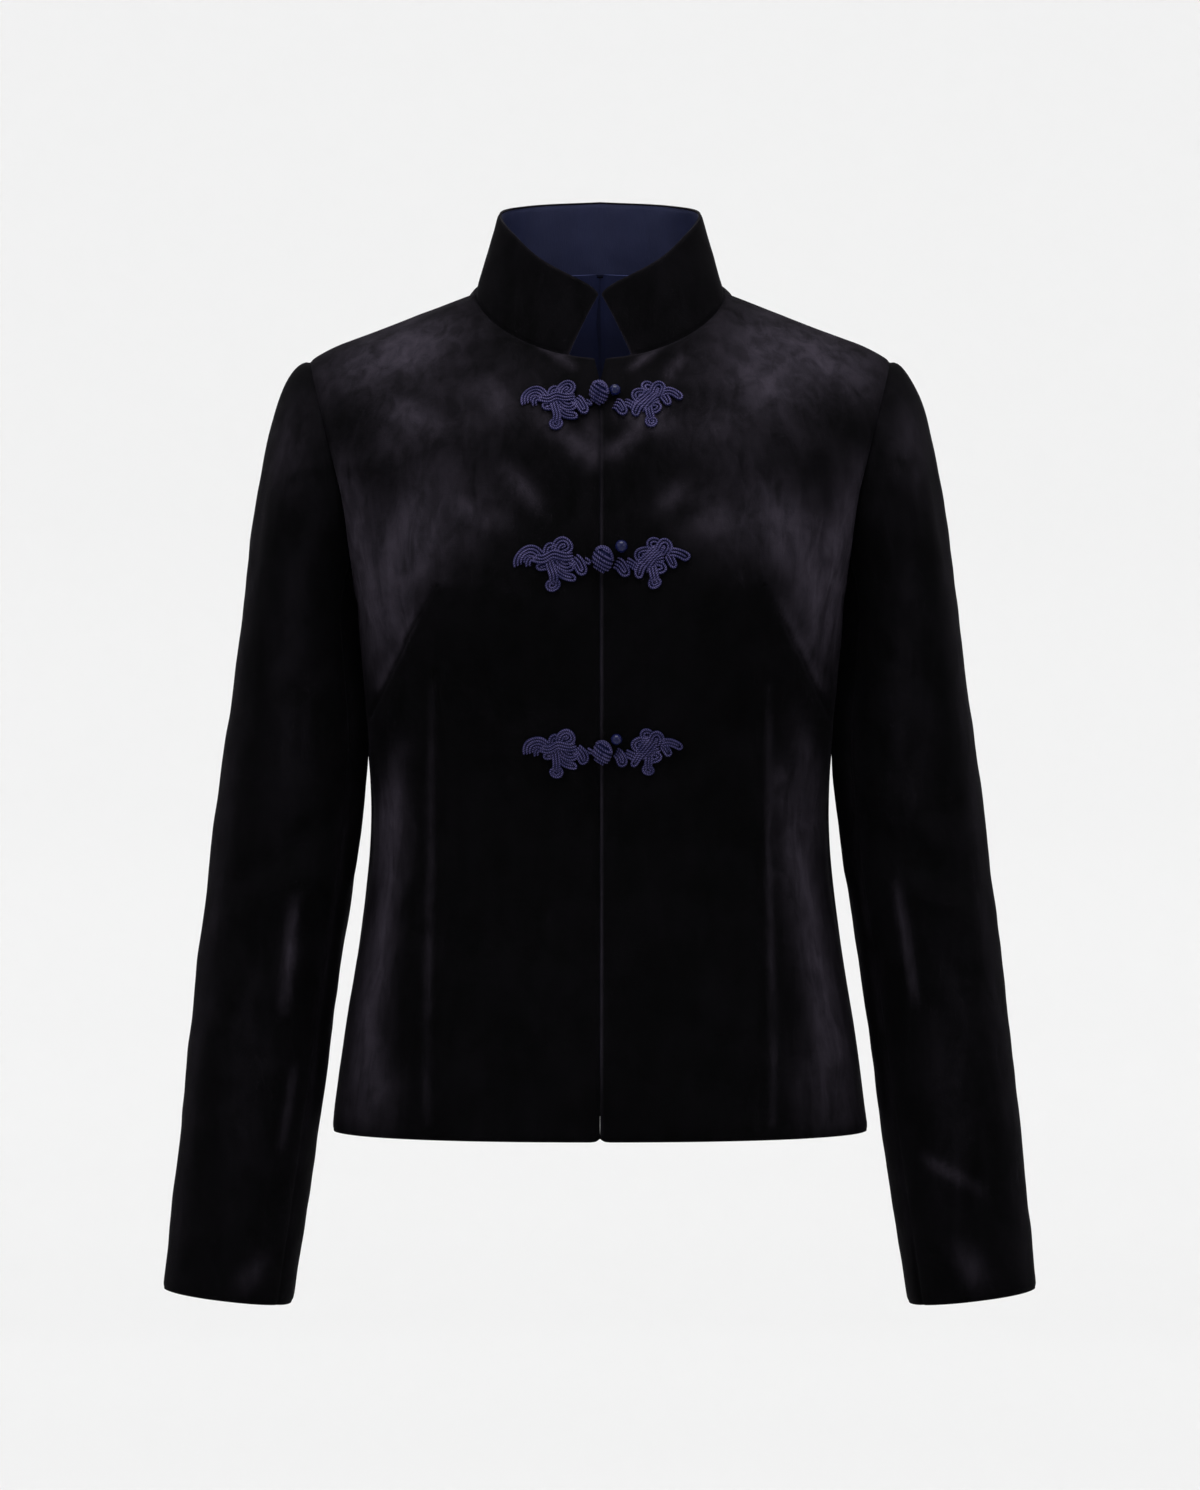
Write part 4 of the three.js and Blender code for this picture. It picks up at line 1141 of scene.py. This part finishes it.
class JACKET_OT_back(bpy.types.Operator):
    """Adds the back, with its long waist darts and short shoulder darts"""

    bl_idname = "jacket.add_back"
    bl_label = "Back"

    def execute(self, context):
        sizes = context.scene.jacket_sizes
        across, up = np.meshgrid(*body_grid(sizes.grid / MM))
        flat = body_point("back", across, up)
        x, z = flat[..., 0], flat[..., 2]
        normals = -normals_of(flat)
        halves, painted_lights = [], []
        for _, side in SIDES:
            placed = np.array([side, 1, 1])
            swell = drape_noise(flat * placed, seed=SEEDS["back"], **BODY_SWELL)
            at = panel(flat, normals, swell, BACK_FOLDS, BACK_DARTS, side, ["bottom"], sizes.seam_depth / MM)
            halves.append(at * placed)
            # Painted sheen, kept off by painted shade along the darts.
            painted_lights.append(painted_sheen_at(BACK_PAINTED_SHEEN, side, x, z) * dart_shade(BACK_DARTS, x, z))
        left, right = halves
        middle = (left[:, :1] + right[:, :1]) / 2
        at = np.concatenate([left[:, :0:-1], middle, right[:, 1:]], axis=1)
        nap = np.concatenate([painted_lights[0][:, :0:-1], painted_lights[1]], axis=1)
        whole = np.concatenate([flat[:, :0:-1], flat * MIRROR], axis=1)
        hem = HEM_Z * MM + sizes.turn_up
        cloth_piece(
            "velvet_back", at, nap, VELVET_LINED, sizes.cloth, "back", whole,
            lambda c: c.z < hem,
        )
        return {"FINISHED"}


class JACKET_OT_lining(bpy.types.Operator):
    """Adds the upper back lining, in two halves with a seam down its middle"""

    bl_idname = "jacket.add_lining"
    bl_label = "Back lining"

    def execute(self, context):
        sizes = context.scene.jacket_sizes
        columns, rows = body_grid(sizes.grid / MM)
        across, up = np.meshgrid(columns, rows[rows >= LINING_FROM])
        outer = body_point("back", across, up)
        inner = outer + normals_of(outer) * ((sizes.cloth + sizes.lining) / MM + LINING_AIR)
        x, z = inner[..., 0], inner[..., 2]
        normals = normals_of(inner)
        seam = LINING_SEAM["deep"] * np.exp(-((x / LINING_SEAM["wide"]) ** 2))
        # Painted light, brighter towards the neck.
        lit = mix(LINING_LIT["low"], LINING_LIT["high"], smooth(z, LINING_LIT["low_z"], LINING_LIT["high_z"]))
        for name, side in SIDES:
            ripple = 0.5 * np.sin(x / 9 + 0.012 * z * side + side) * smooth(-z, -10, 60)
            swell = drape_noise(inner, 0.7, 0.03, SEEDS["lining"] + side)
            lift = (ripple + swell) * seam_fade(inner, ["top", "end"])
            lift -= seam
            at = inner + normals * (lift[..., None] + LINING_SEAM["ease"] * smooth(x, 0, 12)[..., None])
            at[..., 0] += LINING_SEAM["gap"] / 2
            at, nap = on_side(side, at, lit)
            cloth_piece(
                f"satin_back_{name}", at, nap, ("navy_satin",), sizes.lining, f"back_lining_{name}",
                inner,
            )
        return {"FINISHED"}


def unrolled(rows):
    """A sleeve's folds with x as millimetres round it in place of degrees."""
    scale = math.radians(1) * SLEEVE_GIRTH
    return [{**row, "x0": row["x0"] * scale, "x1": row["x1"] * scale} for row in rows]


def underarm_press(at):
    """How far the sleeve presses on the body's side just under the armhole."""
    x, z = at[..., 0], at[..., 2]
    below = smooth(-z, -UNDERARM_Z - 12, -UNDERARM_Z) * smooth(z, UNDERARM_Z - 26, UNDERARM_Z - 8)
    inner = smooth(-x, -UNDERARM_PRESS["outer_x"], -UNDERARM_PRESS["inner_x"])
    return UNDERARM_PRESS["high"] * below * inner


class JACKET_OT_sleeves(bpy.types.Operator):
    """Adds the two-piece sleeves, with their forearm seams"""

    bl_idname = "jacket.add_sleeves"
    bl_label = "Sleeves"

    def execute(self, context):
        sizes = context.scene.jacket_sizes
        spacing = sizes.grid / MM
        cap = spread(0, 1, spacing / SLEEVE_SPANS["cap"], True, False)
        arm = spread(1, 2, spacing / (BICEPS_Z - CUFF_Z), False, True)[1:]
        front, back = SLEEVE_SEAM["front"], SLEEVE_SEAM["back"]
        sheets = {
            "top": spread(front, back, spacing / SLEEVE_SPANS["top"]),
            "under": spread(back - 2, front, spacing / SLEEVE_SPANS["under"]),
        }
        for sheet, columns in sheets.items():
            around, down = np.meshgrid(columns, np.concatenate([cap, arm]))
            ring = np.where(around < 0, around + 2, around)
            turn = np.radians(180 * (1 - ring))
            turn = np.where(around < 0, turn + 2 * np.pi, turn)
            for name, side in SIDES:
                self.add_sheet(sizes, sheet, name, side, sleeve_point(ring, down), turn)
        return {"FINISHED"}

    def add_sheet(self, sizes, sheet, name, side, flat, turn):
        """One sheet of a sleeve. Folds and painted sheen are read twice, because they may cross the underarm.
        """
        z = flat[..., 2]
        girths = [turn * SLEEVE_GIRTH, (turn - 2 * np.pi) * SLEEVE_GIRTH]
        folds, sheen_rows = unrolled(SLEEVE_FOLDS), unrolled(SLEEVE_PAINTED_SHEEN)
        lift = sum(fold_height(folds, side, x, z) for x in girths)
        lift += drape_noise(flat, 1.0, 0.024, SEEDS["sleeve"] + side)
        lift *= seam_fade(flat, ["bottom"], 12) * seam_fade(flat, ["start", "end"], 5)
        lift += seam_roll(flat, ["bottom", "top", "start", "end"], sizes.seam_depth / MM)
        lift += underarm_press(flat)
        normals = -normals_of(flat)
        underarm = smooth(-z[0], -UNDERARM_Z - 14, -UNDERARM_Z - 3)
        deep = mix(SLEEVE_TUCK["deep"], SLEEVE_TUCK["underarm_deep"], underarm)[:, None]
        at = tucked(flat + normals * lift[..., None], normals, SLEEVE_TUCK["run"], deep)
        # Painted sheen on the sleeve.
        nap = np.maximum(*(painted_sheen_at(sheen_rows, side, x, z) for x in girths))
        nap = np.concatenate([nap[:1], nap])
        at, nap = on_side(side, at[:, ::-1], nap[:, ::-1])
        cuff = CUFF_Z * MM + sizes.turn_up
        cloth_piece(
            f"velvet_sleeve_{sheet}_{name}", at, nap, VELVET_LINED, sizes.cloth,
            f"sleeve_{sheet}_{name}", flat, lambda c: c.z < cuff,
        )


class JACKET_OT_collar(bpy.types.Operator):
    """Adds the stand collar and its satin lining"""

    bl_idname = "jacket.add_collar"
    bl_label = "Collar"

    def execute(self, context):
        sizes = context.scene.jacket_sizes
        last = 180 - COLLAR_LAST
        half = np.concatenate([
            np.linspace(0, last, COLLAR_COLUMNS),
            last + COLLAR_LAST * spread(0, 1, 0.1, False, True)[1:],
        ])
        around = np.concatenate([-half[:0:-1], half])[::-1]
        rows = spread(0, 1, COLLAR_ROWS)
        sides = ["start", "end", "top"]
        flat = collar_point(*np.meshgrid(around, rows))
        normals = normals_of(flat)
        lift = drape_noise(flat, 0.5, 0.04, SEEDS["collar"]) * seam_fade(flat, ["bottom"] + sides, 8)
        lift += seam_roll(flat, ["bottom"] + sides, 0.6, 1.8)
        at = tucked(flat + normals * lift[..., None], normals, **COLLAR_TUCK)
        # A little painted sheen over the collar, painted lighter along its edges.
        nap = COLLAR_PAINTED_SHEEN + EDGE_LIGHTER["high"] * edge_share(flat, sides)
        nap = np.concatenate([nap[:1], nap])
        cloth_piece(
            "velvet_collar", at, nap, ("black_velvet",), sizes.collar_cloth, "collar",
            flat,
        )
        inner = collar_point(*np.meshgrid(around, COLLAR_LINING_HIGH * rows))
        inner = inner - normals_of(inner) * ((sizes.collar_cloth + sizes.lining) / MM + LINING_AIR)
        normals = normals_of(inner)
        lift = drape_noise(inner, 0.5, 0.05, SEEDS["collar lining"]) * seam_fade(inner, ["bottom"] + sides, 8)
        lift -= seam_roll(inner, sides, 0.4, 1.8)
        at = tucked(inner + normals * lift[..., None], normals, **LINING_TUCK)
        cloth_piece(
            "satin_collar", at[:, ::-1], None, ("navy_satin",), sizes.lining, "collar_lining",
            inner,
        )
        return {"FINISHED"}


# The fastenings.


def run_along(line):
    """How far each point of a line lies from its start, along it."""
    return np.concatenate([[0], np.linalg.norm(np.diff(line, axis=0), axis=1).cumsum()])


def cord_mesh(name, strands, radius, normals):
    """Twisted cords along paths in millimetres, as one piece. UV: x turns of the twist, y turns round."""
    sides, lobes = CORD_TWIST["sides"], CORD_TWIST["lobes"]
    points, faces, uvs = [], [], []
    for path, ups in zip(strands, normals):
        ahead = unit(np.gradient(path, axis=0))
        right = unit(np.cross(ahead, ups))
        up = np.cross(right, ahead)
        run = run_along(path) / CORD_TWIST["length"]
        base = len(points)
        for i, at in enumerate(path):
            end = min(i, len(path) - 1 - i)
            rounded = radius * (0.62, 0.9)[end] if end < 2 else radius
            for k in range(sides):
                turn = 2 * math.pi * k / sides
                r = rounded * (1 + CORD_TWIST["swell"] * math.cos(lobes * (turn - 2 * math.pi * run[i])))
                points.append(at + r * (math.cos(turn) * up[i] + math.sin(turn) * right[i]))
        for i in range(len(path) - 1):
            for k in range(sides):
                a, b = base + i * sides + k, base + i * sides + (k + 1) % sides
                faces.append((a, a + sides, b + sides, b))
                y0, y1 = k / sides, (k + 1) / sides
                uvs += [(run[i], y0), (run[i + 1], y0), (run[i + 1], y1), (run[i], y1)]
        for start, flip in ((base, True), (base + (len(path) - 1) * sides, False)):
            ring = [start + k for k in range(sides)]
            faces.append(tuple(ring[::-1]) if flip else tuple(ring))
            uvs += [(0, 0)] * sides
    mesh = bpy.data.meshes.new(name)
    mesh.from_pydata([tuple(p * MM) for p in points], [], faces)
    layer = mesh.uv_layers.new(name="UVMap")
    layer.data.foreach_set("uv", np.array(uvs, float).reshape(-1))
    obj = bpy.data.objects.new(name, mesh)
    bpy.context.collection.objects.link(obj)
    activate(obj)
    bpy.ops.object.mode_set(mode="EDIT")
    bpy.ops.mesh.select_all(action="SELECT")
    bpy.ops.mesh.normals_make_consistent(inside=False)
    bpy.ops.object.mode_set(mode="OBJECT")
    bpy.ops.object.shade_smooth_by_angle(angle=CORD_EDGE)
    return obj


def resample(line, step):
    """The same line with even steps."""
    run = run_along(line)
    at = np.linspace(0, run[-1], max(4, int(run[-1] / step)))
    return np.stack([np.interp(at, run, line[:, i]) for i in range(line.shape[1])], axis=-1)


def soften(line, rounds=3):
    """Rounds a line's corners a little, with its ends where they are."""
    for _ in range(rounds):
        line[1:-1] = (line[:-2] + 2 * line[1:-1] + line[2:]) / 4
    return line


def band_lines(band):
    """The cords of one band, side by side; a closed band's outer cords turn back at its end."""
    middle = soften(resample(np.array(band["line"], float), 0.6), 16)
    ahead = unit(np.gradient(middle, axis=0))
    side = np.stack([-ahead[:, 1], ahead[:, 0]], axis=-1)
    offsets = (np.arange(band["cords"]) - (band["cords"] - 1) / 2) * CORD_PITCH
    if not band["closed"]:
        return [middle + side * offset for offset in offsets]
    lines = []
    for offset in offsets[offsets > 0.1]:
        turns = np.linspace(0, math.pi, 12)[1:-1]
        cap = [middle[-1] + offset * (side[-1] * math.cos(a) + ahead[-1] * math.sin(a)) for a in turns]
        lines.append(np.concatenate([middle + side * offset, cap, (middle - side * offset)[::-1]]))
    if band["cords"] % 2:
        lines.append(middle)
    return lines


def drop_line(drop):
    """The round drop below a fastening: one cord in a spiral, from its rim inwards."""
    share = np.linspace(0, 1, int(SPIRAL["points"] * drop["turns"]))
    reach = 1 - SPIRAL["inwards"] * share
    turn = math.radians(SPIRAL["start"]) + 2 * math.pi * drop["turns"] * share
    x = drop["x"] + (drop["wide"] - CORD_PITCH / 2) * reach * np.cos(turn)
    z = drop["z"] + (drop["tall"] - CORD_PITCH / 2) * reach * np.sin(turn)
    return np.stack([x, z], axis=-1)


class Ground:
    """The finished fronts, to lay trim on."""

    def __init__(self):
        self.trees = []
        for name in ("velvet_front_left", "velvet_front_right"):
            mesh = bmesh.new()
            mesh.from_mesh(bpy.data.objects[name].data)
            self.trees.append(BVHTree.FromBMesh(mesh))
            mesh.free()

    def at(self, x, z):
        """The point and the outward normal of the front's face at x and z, in millimetres."""
        near = math.copysign(max(abs(x), 0.9), x)
        tree = self.trees[0 if near > 0 else 1]
        hit, normal, _, _ = tree.ray_cast(Vector((near * MM, -1, z * MM)), Vector((0, 1, 0)))
        found = np.array(hit) / MM
        found[0] = x
        return found, np.array(normal)

    def lay(self, line, lift):
        """A flat line's points on the front, lifted off it, and the normals there, made even."""
        found = [self.at(x, z) for x, z in line]
        normals = unit(soften(np.array([n for _, n in found]), 4))
        return np.array([p for p, _ in found]) + normals * np.asarray(lift)[..., None], normals


def motif(ground, frog, side, cord):
    """The cords of one half of a fastening, laid on the front, each a little out of true as handwork is."""
    hand = random.Random(f"{frog['name']} {side}")
    flat = [(line, band["lift"]) for band in BANDS if band["side"] == side for line in band_lines(band)]
    flat += [(drop_line(drop), 0.2) for drop in DROPS if drop["side"] == side]
    tilt = math.radians(frog["tilt"])
    waves = [tuple(hand.uniform(*limits) for limits in CORD_WAVES.values()) for _ in range(4)]
    strands, ups = [], []
    for line, lift in flat:
        line = resample(soften(resample(line, 0.7), 3), 0.55)
        x, z = line[:, 0].copy(), line[:, 1].copy()
        for pace, start, reach in waves[:2]:
            x += reach * np.sin(line[:, 1] * pace * 3 + start)
        for pace, start, reach in waves[2:]:
            z += reach * np.sin(line[:, 0] * pace * 3 + start)
        x, z = frog["size"] * x, frog["size"] * z
        placed_x = side * (x * math.cos(tilt) - z * math.sin(tilt))
        placed_z = x * math.sin(tilt) + z * math.cos(tilt) + frog["z"]
        ends = np.minimum(np.arange(len(x)), np.arange(len(x))[::-1])
        rise = cord / 2 + 0.1 + lift * smooth(ends, 0, 7) - 0.5 * (1 - smooth(ends, -1, 3))
        path, normals = ground.lay(np.stack([placed_x, placed_z], axis=-1), rise)
        strands.append(path)
        ups.append(normals)
    return strands, ups


class JACKET_OT_frogs(bpy.types.Operator):
    """Adds the coiled cord flowers of the three fastenings"""

    bl_idname = "jacket.add_frogs"
    bl_label = "Cord flowers"

    def execute(self, context):
        cord = context.scene.jacket_sizes.cord / MM
        ground = Ground()
        for frog in FROGS:
            for name, side in SIDES:
                strands, ups = motif(ground, frog, side, cord)
                obj = cord_mesh(f"cord_{frog['name']}_{name}", strands, cord / 2, ups)
                dress(obj, "twisted_cord")
                settle(obj, f"frog_{frog['name']}_{name}")
        return {"FINISHED"}


class JACKET_OT_buttons(bpy.types.Operator):
    """Adds the ball knots and the small beads"""

    bl_idname = "jacket.add_buttons"
    bl_label = "Knots and beads"

    def execute(self, context):
        sizes = context.scene.jacket_sizes
        ground = Ground()
        for frog in FROGS:
            self.add_knot(ground, frog, sizes.cord / MM)
            self.add_bead(ground, frog, sizes.bead / MM)
        return {"FINISHED"}

    def add_knot(self, ground, frog, cord):
        """A ball knot: bands of cord round a leaning axis, with two cords crossing over its top."""
        at, normal = ground.at(frog["knot_x"], frog["z"] + frog["knot_z"])
        normal = unit(normal * np.array([0, 1, 1]))
        scale = frog["size"]
        wide, tall, deep = (KNOT[key] * scale for key in ("wide", "tall", "deep"))
        middle = at + normal * (deep + 0.2)
        lean = math.radians(KNOT["lean"])
        axis = np.array([math.sin(lean), 0, math.cos(lean)])
        over = np.array([math.cos(lean), 0, -math.sin(lean)])
        out = np.array([0, -1, 0])
        reach = np.array([wide, deep, tall]) - cord * 0.4
        strands, ups = [], []
        for k in range(KNOT["bands"]):
            height = mix(KNOT_BANDS["low"], KNOT_BANDS["high"], k / (KNOT["bands"] - 1))
            turns = np.linspace(0, 2 * math.pi, 64)
            ring = math.sqrt(1 - height * height)
            dip = -KNOT_BANDS["dip"] * np.cos(turns)
            beside = [over * math.sin(a) + out * math.cos(a) for a in turns]
            ball = unit(np.array([axis * (height + d * ring) + ring * b for b, d in zip(beside, dip)]))
            strands.append(middle + ball * reach)
            ups.append(unit(ball / reach))
        turns = np.linspace(-KNOT_CROSS["turn"], KNOT_CROSS["turn"], 30)
        for shift in (-KNOT_CROSS["apart"], KNOT_CROSS["apart"]):
            front = out * (KNOT_CROSS["front"] + shift)
            top = axis * KNOT_CROSS["top"]
            ball = unit(np.array([top * math.cos(a) + front + over * math.sin(a) for a in turns]))
            strands.append(middle + ball * (reach + KNOT_CROSS["lift"]))
            ups.append(unit(ball / reach))
        obj = cord_mesh(f"ball_{frog['name']}", strands, cord * 0.54, ups)
        dress(obj, "twisted_cord")
        core = self.add_core(f"core_{frog['name']}", middle, reach - 0.2, "twisted_cord")
        activate(obj)
        core.select_set(True)
        bpy.ops.object.join()
        settle(obj, f"knot_{frog['name']}")

    def add_core(self, name, middle, reach, finish):
        """A smooth ball round its middle, of its own reach along x, y and z."""
        deselect()
        bpy.ops.mesh.primitive_uv_sphere_add(
            segments=32, ring_count=18, radius=1, location=tuple(middle * MM), scale=tuple(reach * MM)
        )
        obj = bpy.context.object
        obj.name = name
        bpy.ops.object.transform_apply(location=True, rotation=True, scale=True)
        bpy.ops.object.shade_smooth()
        dress(obj, finish)
        return obj

    def add_bead(self, ground, frog, radius):
        """A round bead with a drilled end, sewn flat on the front."""
        at, normal = ground.at(frog["bead_x"], frog["z"] + frog["bead_z"])
        middle = at + normal * (radius * frog["size"] + 0.1)
        reach = np.full(3, radius * frog["size"])
        obj = self.add_core(f"round_{frog['name']}", middle, reach, "polished_bead")
        activate(obj)
        bpy.ops.object.mode_set(mode="EDIT")
        bpy.ops.mesh.select_mode(type="FACE")
        bpy.ops.mesh.select_all(action="DESELECT")
        mesh = bmesh.from_edit_mesh(obj.data)
        for face in mesh.faces:
            face.select = len(face.verts) == 3
        bmesh.update_edit_mesh(obj.data)
        bpy.ops.mesh.inset(thickness=BEAD_HOLE["rim"] * MM, use_boundary=True)
        hole = {"value": -BEAD_HOLE["deep"] * MM}
        bpy.ops.mesh.extrude_region_shrink_fatten(TRANSFORM_OT_shrink_fatten=hole)
        bpy.ops.object.mode_set(mode="OBJECT")
        settle(obj, f"bead_{frog['name']}")


class JACKET_OT_stage(bpy.types.Operator):
    """Adds the pale stage, the soft lights and the camera"""

    bl_idname = "jacket.add_stage"
    bl_label = "Stage"

    def execute(self, context):
        self.add_bowl()
        self.add_lights(context.scene)
        self.add_camera(context.scene)
        return {"FINISHED"}

    def add_bowl(self):
        """A round floor whose rim turns up into a backdrop on every side."""
        deselect()
        floor = (0, 0, FLOOR_Z * MM)
        bpy.ops.mesh.primitive_circle_add(vertices=96, radius=FLOOR_RADIUS, fill_type="NGON", location=floor)
        bowl = bpy.context.object
        bowl.name = "stage_bowl"
        bpy.ops.object.mode_set(mode="EDIT")
        bpy.ops.mesh.select_mode(type="EDGE")
        bpy.ops.mesh.select_all(action="SELECT")
        for grow, rise in RIM_STEPS:
            bpy.ops.mesh.extrude_edges_move(TRANSFORM_OT_translate={"value": (0, 0, rise)})
            bpy.ops.transform.resize(value=(grow, grow, 1))
        bpy.ops.object.mode_set(mode="OBJECT")
        bpy.ops.object.transform_apply(location=True, rotation=True, scale=True)
        bpy.ops.object.shade_smooth_by_angle(angle=CORD_EDGE)
        dress(bowl, "pale_paper")

    def add_lights(self, scene):
        for lamp in LAMPS:
            deselect()
            bpy.ops.object.light_add(type="AREA", location=(lamp["x"], lamp["y"], lamp["z"]))
            light = bpy.context.object
            light.name = "lamp_" + lamp["name"]
            light.data.shape = "RECTANGLE"
            light.data.size, light.data.size_y = lamp["wide"], lamp["tall"]
            light.data.energy = lamp["power"]
            light.visible_camera = False
            aim = Vector((0, 0, lamp["aim_z"])) - light.location
            light.rotation_euler = aim.to_track_quat("-Z", "Y").to_euler()
        world = bpy.data.worlds.new("soft studio")
        world.use_nodes = True
        sky = world.node_tree.nodes["Background"]
        sky.inputs["Color"].default_value = (1, 1, 1, 1)
        sky.inputs["Strength"].default_value = SKY_STRENGTH
        scene.world = world
        scene.view_settings.view_transform = "Standard"

    def add_camera(self, scene):
        deselect()
        bpy.ops.object.camera_add(
            location=(0, -VIEW_DISTANCE * MM, VIEW_Z * MM), rotation=(math.radians(90), 0, 0)
        )
        camera = bpy.context.object
        camera.name = "camera"
        camera.data.sensor_fit = "AUTO"
        camera.data.sensor_width = SENSOR
        camera.data.lens = SENSOR * VIEW_DISTANCE / VIEW_HEIGHT
        camera.data.clip_end = 50
        scene.camera = camera


PIECES = (
    JACKET_OT_fronts,
    JACKET_OT_back,
    JACKET_OT_lining,
    JACKET_OT_sleeves,
    JACKET_OT_collar,
    JACKET_OT_frogs,
    JACKET_OT_buttons,
    JACKET_OT_stage,
)


class JACKET_PT_panel(bpy.types.Panel):
    """Lists the jacket's sizes, colours and pieces"""

    bl_label = "Velvet Jacket"
    bl_idname = "JACKET_PT_panel"
    bl_space_type = "VIEW_3D"
    bl_region_type = "UI"
    bl_category = "Jacket"

    def draw(self, context):
        for group in (context.scene.jacket_sizes, context.scene.jacket_colours):
            box = self.layout.box()
            for name in group.__annotations__:
                box.prop(group, name)
        for piece in PIECES:
            self.layout.operator(piece.bl_idname)


CLASSES = (JacketSizes, JacketColours, *PIECES, JACKET_PT_panel)


def register():
    for cls in CLASSES:
        bpy.utils.register_class(cls)
    bpy.types.Scene.jacket_sizes = PointerProperty(type=JacketSizes)
    bpy.types.Scene.jacket_colours = PointerProperty(type=JacketColours)


def unregister():
    del bpy.types.Scene.jacket_colours
    del bpy.types.Scene.jacket_sizes
    for cls in reversed(CLASSES):
        bpy.utils.unregister_class(cls)


def main():
    register()
    bpy.ops.jacket.add_fronts()
    bpy.ops.jacket.add_back()
    bpy.ops.jacket.add_lining()
    bpy.ops.jacket.add_sleeves()
    bpy.ops.jacket.add_collar()
    bpy.ops.jacket.add_frogs()
    bpy.ops.jacket.add_buttons()
    bpy.ops.jacket.add_stage()


if __name__ == "__main__":
    main()
